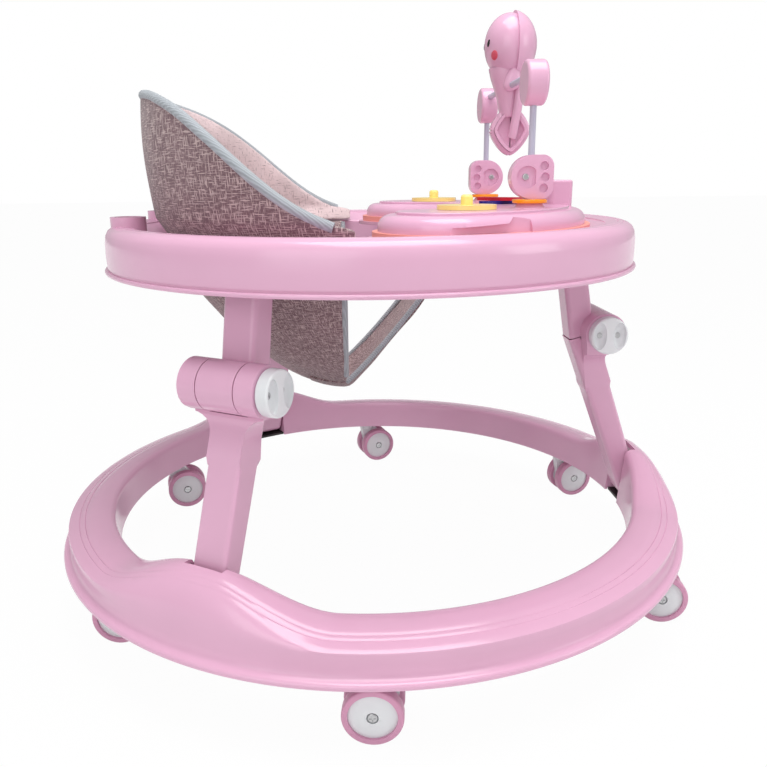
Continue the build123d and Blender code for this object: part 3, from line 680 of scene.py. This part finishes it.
def prism(outline, low, high, place):
    """A straight bar with the given outline, set by a function from outline and depth to the frame."""
    made = column("cutter", len(outline), 1, 1)
    turns = [math.tau * k / len(outline) for k in range(len(outline))]
    corners = [Vector((math.sin(turn), math.cos(turn), 0)) for turn in turns]
    for vertex in made.data.vertices:
        flat = Vector((vertex.co.x, vertex.co.y, 0))
        nearest = min(range(len(corners)), key=lambda k: (corners[k] - flat).length)
        vertex.co = place(*outline[nearest], high if vertex.co.z > 0.5 else low)
    edit_all(made)
    close_outward()
    return made


leg_turns = {"front": 0.0, "left": math.radians(120), "right": math.radians(240)}
ring_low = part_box("base_ring")[0].z
# The ring's wall as radius and height on the plain ring, then on top of a hump where that differs.
# Heights are above ring_low, and hump_share is the part of the hump's rise that is used.
ring_wall = (
    (0.2840, 0.0000),
    (0.2843, 0.0030),
    (0.2868, 0.0290, 0.2894, 0.0670),
    (0.2876, 0.0330, 0.2902, 0.0735),
    (0.2895, 0.0352, 0.2922, 0.0776),
    (0.2925, 0.0360, 0.2955, 0.0796),
    (0.3000, 0.0358, 0.3010, 0.0800),
    (0.3090, 0.0346, 0.3065, 0.0786),
    (0.3156, 0.0333, 0.3105, 0.0762),
    (0.3163, 0.0325, 0.3110, 0.0758),
    (0.3170, 0.0331, 0.3116, 0.0754),
    (0.3212, 0.0322, 0.3150, 0.0718),
    (0.3219, 0.0314, 0.3156, 0.0711),
    (0.3226, 0.0319, 0.3162, 0.0704),
    (0.3270, 0.0306, 0.3205, 0.0640),
    (0.3308, 0.0296, 0.3240, 0.0565),
    (0.3328, 0.0284, 0.3268, 0.0480),
    (0.3332, 0.0262, 0.3288, 0.0380),
    (0.3314, 0.0190, 0.3302, 0.0270),
    (0.3314, 0.0130, 0.3310, 0.0170),
    (0.3324, 0.0082, 0.3322, 0.0086),
    (0.3340, 0.0066),
    (0.3370, 0.0060),
    (0.3392, 0.0050),
    (0.3400, 0.0036),
    (0.3400, 0.0016),
    (0.3392, 0.0002),
    (0.3370, 0.0000),
    (0.3300, 0.0000),
    (0.3292, 0.0030),
    (0.3286, 0.0130, 0.3280, 0.0130),
    (0.3288, 0.0230, 0.3268, 0.0250),
    (0.3275, 0.0258, 0.3245, 0.0390),
    (0.3220, 0.0284, 0.3180, 0.0590),
    (0.3080, 0.0315, 0.3060, 0.0735),
    (0.2930, 0.0326, 0.2960, 0.0766),
    (0.2904, 0.0290, 0.2930, 0.0710),
    (0.2874, 0.0030),
    (0.2870, 0.0000),
)
# A hump is level for hump_flat and ends at hump_end on either side, along the circle of hump_radius.
hump_radius = 0.308
hump_flat = 0.012
hump_end = 0.120
hump_share = 0.68
slot_half = 0.0195
slot_front = 0.26
slot_back = 0.301
rib_thickness = 0.004
rib_inner = 0.2872
rib_outer = 0.3160
rib_top = 0.0450
boss_radius = 0.0102
boss_bore = 0.00715
boss_height = 0.031
bore_length = 0.054


class WALKER_OT_base_ring(bpy.types.Operator):
    """Moulds the base ring with its ridge, grooves, lip and a soft hump over each leg"""

    bl_idname = "walker.base_ring"
    bl_label = "Base ring"

    def execute(self, context):
        plain = [(row[0], ring_low + row[1]) for row in ring_wall]
        ring = lathe("base_ring_shell", plain, 300)
        for vertex in ring.data.vertices:
            reach = math.hypot(vertex.co.x, vertex.co.y)
            bearing = math.atan2(vertex.co.y, vertex.co.x)
            number = min(range(len(plain)), key=lambda k: math.dist(plain[k], (reach, vertex.co.z)))
            nearest = min(abs(math.remainder(bearing - turn, math.tau)) for turn in leg_turns.values())
            away = nearest * hump_radius
            share = min(1, max(0, (hump_end - away) / (hump_end - hump_flat)))
            rise = share * share * (3 - 2 * share)
            (r0, z0), (r1, z1) = ring_wall[number][:2], ring_wall[number][-2:]
            z1 = z0 + (z1 - z0) * hump_share
            radius = r0 + (r1 - r0) * rise
            vertex.co = (
                radius * math.cos(bearing),
                radius * math.sin(bearing),
                ring_low + z0 + (z1 - z0) * rise,
            )
        slots = []
        for turn in leg_turns.values():
            low = (slot_front, -slot_half, ring_low - 0.02)
            slots.append(block(low, (slot_back, slot_half, ring_low + 0.12), turn))
        carve(ring, slots)
        settle_pink(ring, "base")
        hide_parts("base_ring")
        for leg, turn in leg_turns.items():
            for side, name in ((1, "a"), (-1, "b")):
                near, far = sorted((side * slot_half, side * (slot_half + rib_thickness)))
                low = (rib_inner, near, ring_low + 0.001)
                rib = block(low, (rib_outer, far, ring_low + rib_top), turn)
                rib.name = f"slot_rib_{leg}_{name}"
                apply_modifier(rib, "BEVEL", width=0.0008, segments=2)
                settle_pink(rib, "base")
        for number in range(1, 7):
            swivel, _ = joint_place(f"caster_{number}_swivel")
            foot = Vector((swivel.x, swivel.y, ring_low))
            up = Vector((0, 0, 1))
            boss = drum(boss_radius, boss_height, foot + up * boss_height / 2, up, 40)
            boss.name = f"caster_boss_{number}"
            carve(boss, [drum(boss_bore, bore_length, foot, up, 40)])
            apply_modifier(boss, "BEVEL", width=0.0006, segments=2)
            settle_pink(boss, "base")
        return {"FINISHED"}


# The knee's drum, then what is left of the bar below it: half its width, and its front from its middle.
drum_radius = 0.0222
bar_half = 0.0172
bar_front = 0.0152
# How far the bar's upper end lies inwards of the knee and below it.
bar_inset = 0.0194
bar_drop = 0.0049
# Outline of the saddle beside the leg, as distance aside and height above the knee, and its reach outwards.
saddle_reach = (0.15, 0.36)
saddle = (
    (bar_half, -0.150),
    (bar_half, -0.0420),
    (0.0178, -0.0370),
    (0.0196, -0.0325),
    (0.0228, -0.0285),
    (0.0270, -0.0256),
    (0.0320, -0.0240),
    (0.0400, -0.0234),
    (0.0600, -0.0234),
    (0.0600, -0.150),
)


class WALKER_OT_lower_legs(bpy.types.Operator):
    """Trims the lower legs to a straight bar that swells only just below the knee"""

    bl_idname = "walker.lower_legs"
    bl_label = "Lower legs"

    def execute(self, context):
        for leg, turn in leg_turns.items():
            knee, _ = joint_place(f"knee_{leg}")
            foot, _ = joint_place("fold" if leg == "front" else f"lower_leg_{leg}_pivot")
            knee_out = math.hypot(knee.x, knee.y)
            foot_out = math.hypot(foot.x, foot.y)
            around = Matrix.Rotation(turn, 3, "Z")
            bar = own_copy(f"lower_leg_{leg}", f"lower_leg_bar_{leg}")
            cutters = []
            for side in (-1, 1):

                def beside(aside, above, depth):
                    return around @ Vector((depth, side * aside, knee.z + above))

                cutters.append(prism(saddle, *saddle_reach, beside))
            run = Vector((knee_out - bar_inset - foot_out, knee.z - bar_drop - foot.z)).normalized()
            out = Vector((run.y, -run.x))
            centre = Vector((knee_out - foot_out, knee.z - foot.z))
            along, aside = centre.dot(run), centre.dot(out)
            notch = [(0.05, bar_front), (along - 0.036, bar_front)]
            notch += [(along - 0.030, 0.0156), (along - 0.0255, 0.0168)]
            for degrees in range(-8, 91, 14):
                angle = math.radians(degrees)
                notch.append((along - drum_radius * math.cos(angle), aside + drum_radius * math.sin(angle)))
            notch += [(along, 0.07), (0.05, 0.07)]

            def place(forward, outward, across):
                spot = run * forward + out * outward
                return around @ Vector((foot_out + spot.x, across, foot.z + spot.y))

            cutters.append(prism(notch, -0.06, 0.06, place))
            carve(bar, cutters)
            settle_pink(bar, f"lower_leg_{leg}")
            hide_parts(f"lower_leg_{leg}")
        return {"FINISHED"}


# A paw foot: a disc with two rounded corners, and the recesses for its toes and pad.
paw_thickness = 0.016
paw_radius = 0.0195
paw_corner = 0.0105
corner_offset = 0.009
toe_radius = 0.0039
pad_radius = 0.0098
recess = 0.0046
stub_radius = 0.006
paw_screw = 0.0031


class WALKER_OT_paws(bpy.types.Operator):
    """Shapes the paw feet of the toy bar with their toes, pad recess and screw"""

    bl_idname = "walker.paws"
    bl_label = "Paw feet"

    def execute(self, context):
        low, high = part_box("post_paws")
        aside = Vector((0, 1, 0))
        half = paw_thickness / 2
        middle_x = joint_place("toy_tumble")[0].x
        centre_z = high.z - paw_radius
        steel = material_named("plated_steel", plated_steel)
        for hand, y, toes in (("left", high.y - half, -1), ("right", low.y + half, 1)):
            middle = Vector((middle_x, y, centre_z))
            paw = drum(paw_radius, paw_thickness, middle, aside, 64)
            paw.name = f"paw_foot_{hand}"
            corners = []
            for way in (-1, 1):
                spot = middle + Vector((toes * corner_offset, 0, way * corner_offset))
                corners.append(drum(paw_corner, paw_thickness, spot, aside))
            choose(paw)
            for corner in corners:
                corner.select_set(True)
            bpy.ops.object.join()
            edit_all(paw)
            bpy.ops.mesh.convex_hull()
            bpy.ops.object.mode_set(mode="OBJECT")
            soften(paw, 0.0022, 4, 60)
            cutters = []
            for side in (-1, 1):
                face = middle + aside * side * half
                for step in (-1, 0, 1):
                    spot = face + Vector((toes * (0.0118 - 0.0012 * abs(step)), 0, step * 0.0098))
                    cutters.append(drum(toe_radius, recess, spot, aside, 32))
                pad = drum(pad_radius, recess, face - Vector((toes * 0.0045, 0, 0)), aside)
                edge = face.x + toes * 0.0032
                near, far = sorted((edge, edge + toes * 0.03))
                straight = block((near, face.y - 0.01, face.z - 0.03), (far, face.y + 0.01, face.z + 0.03))
                carve(pad, [straight])
                cutters.append(pad)
            carve(paw, cutters)
            stub_place = Vector((middle_x, y, (low.z + centre_z) / 2))
            stub = drum(stub_radius, centre_z - low.z, stub_place, (0, 0, 1))
            choose(paw)
            stub.select_set(True)
            bpy.ops.object.join()
            settle_pink(paw, "tray")
            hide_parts("post_paws")
            for side, name in ((1, "a"), (-1, "b")):
                outward = aside * side
                spot = middle - Vector((toes * 0.006, 0, 0)) + outward * (half - 0.0024)
                head = screw_head(f"paw_screw_{hand}_{name}", spot, outward, paw_screw)
                settle(head, "tray", steel)
        return {"FINISHED"}


# The tray's upper edge as radius and height above tray_low: an outer brow, two fine lines and a slope in.
tray_edge = (
    (0.2678, 0.0060),
    (0.2692, 0.0062),
    (0.2697, 0.0160),
    (0.2694, 0.0290),
    (0.2683, 0.0358),
    (0.2658, 0.0402),
    (0.2622, 0.0428),
    (0.2585, 0.0440),
    (0.2578, 0.0432),
    (0.2570, 0.0441),
    (0.2530, 0.0444),
    (0.2523, 0.0436),
    (0.2515, 0.0443),
    (0.2460, 0.0438),
    (0.2405, 0.0422),
    (0.2400, 0.0395),
    (0.2480, 0.0400),
    (0.2580, 0.0370),
    (0.2650, 0.0300),
    (0.2672, 0.0200),
)
socket_radius = 0.0164
socket_depth = 0.09


class WALKER_OT_tray_rim(bpy.types.Operator):
    """Gives the tray its firm upper edge with two fine lines"""

    bl_idname = "walker.tray_rim"
    bl_label = "Tray rim"

    def execute(self, context):
        rim = lathe("tray_rim", [(r, tray_low + z) for r, z in tray_edge], 240)
        cutters = []
        for mount in frame["record"]["mounts"]:
            x, y, z = mount["pos_m"]
            cutters.append(drum(socket_radius, socket_depth, Vector((x, y, z)), (0, 0, 1)))
        carve(rim, cutters)
        settle_pink(rim, "tray")
        return {"FINISHED"}


def screw_head(name, place, outward, radius):
    """A pan-head screw with a cross recess, its flat underside at the given place."""
    clear_choice()
    bpy.ops.mesh.primitive_cylinder_add(vertices=24, radius=radius, depth=radius * 0.5)
    head = bpy.context.object
    head.name = name
    bpy.ops.object.mode_set(mode="EDIT")
    bpy.ops.mesh.select_all(action="DESELECT")
    bpy.ops.object.mode_set(mode="OBJECT")
    for edge in head.data.edges:
        ends = [head.data.vertices[i].co.z for i in edge.vertices]
        edge.select = min(ends) > 0
    bpy.ops.object.mode_set(mode="EDIT")
    bpy.ops.mesh.bevel(offset=radius * 0.3, segments=3)
    bpy.ops.object.mode_set(mode="OBJECT")
    cutters = []
    for wide, deep in ((1.25, 0.24), (0.24, 1.25)):
        bpy.ops.mesh.primitive_cube_add(size=1, location=(0, 0, radius * 0.25))
        cutter = bpy.context.object
        cutter.scale = (radius * wide, radius * deep, radius * 0.36)
        cutters.append(cutter)
    carve(head, cutters)
    head.matrix_world = Matrix.Translation(place + outward * radius * 0.25) @ facing(outward)
    return head


# Screws keep off the axle's end, and stand this far from a knob's middle.
axle_gap = 0.0004
knob_screw_offset = 0.0095


class WALKER_OT_screws(bpy.types.Operator):
    """Puts screws in the wheel hubs and lock knobs"""

    bl_idname = "walker.screws"
    bl_label = "Screws"

    def execute(self, context):
        radius = context.scene.walker_sizes.screw
        steel = material_named("plated_steel", plated_steel)
        for number in range(1, 7):
            middle, axle = joint_place(f"caster_{number}_roll")
            reach = max(abs((spot - middle).dot(axle)) for spot in self.points(f"caster_{number}_pins"))
            for side, name in ((1, "a"), (-1, "b")):
                outward = axle * side
                spot = middle + outward * (reach + axle_gap)
                head = screw_head(f"hub_screw_{number}_{name}", spot, outward, radius)
                settle(head, f"caster_{number}_wheels", steel)
        for leg in ("front", "left", "right"):
            middle, pin = joint_place(f"lock_knob_{leg}_turn")
            spots = [(spot - middle).dot(pin) for spot in self.points(f"lock_knob_{leg}")]
            outward = pin if sum(spots) > 0 else -pin
            side = outward.cross(Vector((0, 0, 1)))
            for way, name in ((1, "a"), (-1, "b")):
                start = middle + outward * 0.2 + side * way * knob_screw_offset
                found, face, _, _ = nodes[f"lock_knob_{leg}"].ray_cast(start, -outward)
                if not found:
                    raise RuntimeError(f"no face for the screws of lock_knob_{leg}")
                spot = face - outward * radius * 0.2
                head = screw_head(f"knob_screw_{leg}_{name}", spot, outward, radius * 0.8)
                settle(head, f"lock_knob_{leg}", steel)
        return {"FINISHED"}

    @staticmethod
    def points(name):
        return [vertex.co for vertex in nodes[name].data.vertices]


class WALKER_OT_toy_face(bpy.types.Operator):
    """Sets plain round eyes and cheeks into the toy figure's face"""

    bl_idname = "walker.toy_face"
    bl_label = "Toy face"

    def execute(self, context):
        c = context.scene.walker_colours
        face = nodes["toy_face"]
        low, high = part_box("toy_face")
        middle = (low + high) / 2
        eye = moulding("eye_lacquer", c.eye, 0.12, 0.0)
        cheek = moulding("cheek_lacquer", c.cheek, 0.3, 0.0)
        # Name, distance aside, height above the face's middle, radius and finish.
        parts = (
            ("eye", 0.0105, -0.001, 0.0030, eye),
            ("cheek", 0.0165, -0.013, 0.0040, cheek),
        )
        for name, aside, above, radius, material in parts:
            for side, hand in ((1, "left"), (-1, "right")):
                start = Vector((low.x - 0.1, middle.y + side * aside, middle.z + above))
                found, spot, normal, _ = face.ray_cast(start, Vector((1, 0, 0)))
                if not found:
                    raise RuntimeError(f"no place for the {name}")
                clear_choice()
                bpy.ops.mesh.primitive_uv_sphere_add(segments=24, ring_count=12, radius=radius)
                dot = context.object
                dot.name = f"toy_{name}_{hand}"
                for vertex in dot.data.vertices:
                    narrow = 0.72 if name == "eye" else 1
                    height = max(vertex.co.z, -0.2 * radius) * 0.3
                    vertex.co = (vertex.co.x * 1.25, vertex.co.y * narrow, height)
                dot.matrix_world = Matrix.Translation(spot) @ facing(normal)
                settle(dot, "toy", material)
        return {"FINISHED"}


# The toy's trunk under its head, as height above the axle, half depth, half width and lean.
trunk = (
    (0.0180, 0.0175, 0.0175, -0.0030),
    (0.0080, 0.0158, 0.0162, -0.0022),
    (-0.0020, 0.0134, 0.0145, -0.0010),
    (-0.0120, 0.0113, 0.0126, 0.0000),
    (-0.0220, 0.0098, 0.0110, 0.0008),
    (-0.0300, 0.0088, 0.0098, 0.0010),
)
# The foot shell's half sizes, its middle below the axle and the power that gives it blunt points.
foot_size = Vector((0.0175, 0.0085, 0.0215))
foot_middle = Vector((0.003, 0, -0.0425))
foot_power = 1.35
# A leg's line from the hip down to the foot shell, from the axle.
leg_line = (
    (0.0085, 0.0120, 0.0060),
    (0.0095, 0.0136, -0.0080),
    (0.0080, 0.0122, -0.0220),
    (0.0065, 0.0104, -0.0340),
    (0.0050, 0.0092, -0.0460),
    (0.0040, 0.0080, -0.0500),
)
leg_radius = 0.0046
# A hand's half sizes and place from the axle, with its taper and tilt.
hand_size = Vector((0.0088, 0.0052, 0.0115))
hand_place = Vector((0.0010, 0.0165, 0.0060))
hand_taper = 0.28
hand_tilt = 0.003


class WALKER_OT_toy_limbs(bpy.types.Operator):
    """Shapes the toy's tapering trunk, hands, legs and rimmed foot shell"""

    bl_idname = "walker.toy_limbs"
    bl_label = "Toy limbs"

    def execute(self, context):
        axle, _ = joint_place("toy_tumble")
        axle = Vector((axle.x, 0, axle.z))

        body = column("toy_trunk", 48, len(trunk) - 1, -1)
        for vertex in body.data.vertices:
            above, deep, wide, lean = trunk[round(-vertex.co.z)]
            vertex.co = axle + Vector((vertex.co.x * deep + lean, vertex.co.y * wide, above))
        soften(body, 0.0015, 3, 50)
        settle_pink(body, "toy")
        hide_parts("toy_body")

        shell = column("toy_foot_shell", 64, 1, 1)
        for vertex in shell.data.vertices:
            bearing = math.atan2(vertex.co.y, vertex.co.x)
            across, upward = math.cos(bearing), math.sin(bearing)
            reach = (abs(across) ** foot_power + abs(upward) ** foot_power) ** (-1 / foot_power)
            side = 1 if vertex.co.z > 0.5 else -1
            spot = Vector((foot_size.x * reach * across, foot_size.y * side, foot_size.z * reach * upward))
            vertex.co = axle + foot_middle + spot
        for face in shell.data.polygons:
            face.select = len(face.vertices) > 4
        choose(shell)
        bpy.ops.object.mode_set(mode="EDIT")
        bpy.ops.mesh.select_mode(type="FACE")
        bpy.ops.mesh.normals_make_consistent(inside=False)
        bpy.ops.mesh.inset(thickness=0.0030, use_individual=True)
        bpy.ops.mesh.inset(thickness=0.0012, depth=-0.0036, use_individual=True)
        close_outward()
        soften(shell, 0.0010, 2, 40)
        settle_pink(shell, "toy")
        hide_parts("toy_foot")

        for side, hand in ((1, "left"), (-1, "right")):
            clear_choice()
            bpy.ops.mesh.primitive_uv_sphere_add(segments=32, ring_count=16, radius=1)
            palm = context.object
            palm.name = f"toy_hand_{hand}"
            for vertex in palm.data.vertices:
                waist = 1 - hand_taper * vertex.co.z
                x = hand_place.x + vertex.co.x * waist * hand_size.x
                y = side * hand_place.y + vertex.co.y * hand_size.y
                z = hand_place.z + vertex.co.z * hand_size.z + vertex.co.x * hand_tilt
                vertex.co = axle + Vector((x, y, z))
            settle_pink(palm, "toy")
            line = [axle + Vector((x, side * y, z)) for x, y, z in leg_line]
            leg = tape_along(f"toy_leg_{hand}", line, leg_radius)
            settle_pink(leg, "toy")
        return {"FINISHED"}


# The view of the photograph, in metres and radians, before the walker's own turn.
camera_back = 0.81868
camera_aside = -0.00147
camera_height = 0.43186
camera_yaw = 0.016145
camera_pitch = 0.267823
camera_roll = -0.009456
walker_turn = 0.034436
picture_width = 767
focal_pixels = 750
# Share of plain white in the floor where the camera or a reflection sees it.
paper_glow = 0.97


def seen_by(tree, ray):
    """One where the camera or the named ray looks, and zero elsewhere."""
    light = put(tree, "ShaderNodeLightPath")
    rays = [(0, light.outputs["Is Camera Ray"]), (1, light.outputs[ray])]
    return work(tree, "MAXIMUM", rays)


class WALKER_OT_stage(bpy.types.Operator):
    """Makes the pale floor, the soft lamps and the camera"""

    bl_idname = "walker.stage"
    bl_label = "Stage"

    def execute(self, context):
        scene = context.scene
        clear_choice()
        bpy.ops.mesh.primitive_plane_add(size=30, location=(0, 0, 0))
        floor = context.object
        floor.name = "studio_floor"
        material, tree, shader = finish("studio_paper")
        fill(shader, {"Base Color": (0.86, 0.86, 0.86, 1), "Roughness": 0.9})
        share = work(tree, "MULTIPLY", [(0, seen_by(tree, "Is Glossy Ray"))], {1: paper_glow})
        white = put(tree, "ShaderNodeEmission", (), {"Color": (1, 1, 1, 1), "Strength": 1})
        show(tree, "Material Output", share, shader.outputs["BSDF"], white.outputs["Emission"])
        dress(floor, material)

        world = bpy.data.worlds.new("studio_air")
        world.use_nodes = True
        tree = world.node_tree
        dim = tree.nodes["Background"]
        fill(dim, {"Color": (1, 1, 1, 1), "Strength": 0.45})
        bright = put(tree, "ShaderNodeBackground", (), {"Color": (1, 1, 1, 1), "Strength": 1})
        seen = seen_by(tree, "Is Transmission Ray")
        show(tree, "World Output", seen, dim.outputs[0], bright.outputs[0])
        scene.world = world

        # Name, place, aim, size and power.
        lamps = (
            ("overhead_softbox", (0.1, -0.3, 1.9), (0, 0, 0.3), 1.2, 25),
            ("front_fill", (-0.9, -1.9, 1.0), (0, 0, 0.25), 1.4, 10),
            ("right_strip", (1.7, -0.9, 0.9), (0, 0, 0.3), 0.8, 6),
        )
        for name, place, aim, size, power in lamps:
            bpy.ops.object.light_add(type="AREA", location=place)
            lamp = context.object
            lamp.name = name
            lamp.data.size = size
            lamp.data.energy = power
            lamp.rotation_euler = (Vector(aim) - Vector(place)).to_track_quat("-Z", "Y").to_euler()

        ahead = Vector(
            (
                math.sin(camera_yaw) * math.cos(camera_pitch),
                math.cos(camera_yaw) * math.cos(camera_pitch),
                -math.sin(camera_pitch),
            )
        )
        right = Vector((math.cos(camera_yaw), -math.sin(camera_yaw), 0))
        up = right.cross(ahead)
        right, up = (
            right * math.cos(camera_roll) + up * math.sin(camera_roll),
            up * math.cos(camera_roll) - right * math.sin(camera_roll),
        )
        axes = Matrix((right, up, -ahead)).transposed()
        turn = Matrix.Rotation(-walker_turn, 3, "Z")
        bpy.ops.object.camera_add()
        camera = context.object
        camera.name = "photo_view"
        place = turn @ Vector((camera_aside, -camera_back, camera_height))
        camera.matrix_world = Matrix.Translation(place) @ (turn @ axes).to_4x4()
        camera.data.sensor_width = 36
        camera.data.lens = 36 * focal_pixels / picture_width
        camera.data.clip_start = 0.01
        scene.camera = camera
        scene.view_settings.view_transform = "Standard"
        return {"FINISHED"}


class WALKER_PT_pieces(bpy.types.Panel):
    """Lists the walker's pieces, sizes and colours"""

    bl_idname = "WALKER_PT_pieces"
    bl_label = "Walker"
    bl_space_type = "VIEW_3D"
    bl_region_type = "UI"
    bl_category = "Walker"

    def draw(self, context):
        for operator in steps:
            self.layout.operator(operator.bl_idname)
        for group in (context.scene.walker_sizes, context.scene.walker_colours):
            for name in group.__annotations__:
                self.layout.prop(group, name)


steps = (
    WALKER_OT_finishes,
    WALKER_OT_base_ring,
    WALKER_OT_lower_legs,
    WALKER_OT_tray_rim,
    WALKER_OT_paws,
    WALKER_OT_seat_back,
    WALKER_OT_seat_sling,
    WALKER_OT_screws,
    WALKER_OT_toy_face,
    WALKER_OT_toy_limbs,
    WALKER_OT_stage,
)
classes = (WalkerColours, WalkerSizes, *steps, WALKER_PT_pieces)


def register():
    for cls in classes:
        bpy.utils.register_class(cls)
    bpy.types.Scene.walker_colours = PointerProperty(type=WalkerColours)
    bpy.types.Scene.walker_sizes = PointerProperty(type=WalkerSizes)


def unregister():
    del bpy.types.Scene.walker_sizes
    del bpy.types.Scene.walker_colours
    for cls in reversed(classes):
        bpy.utils.unregister_class(cls)


def main():
    register()
    for step in steps:
        getattr(bpy.ops.walker, step.bl_idname.split(".")[1])()


if __name__ == "__main__":
    main()
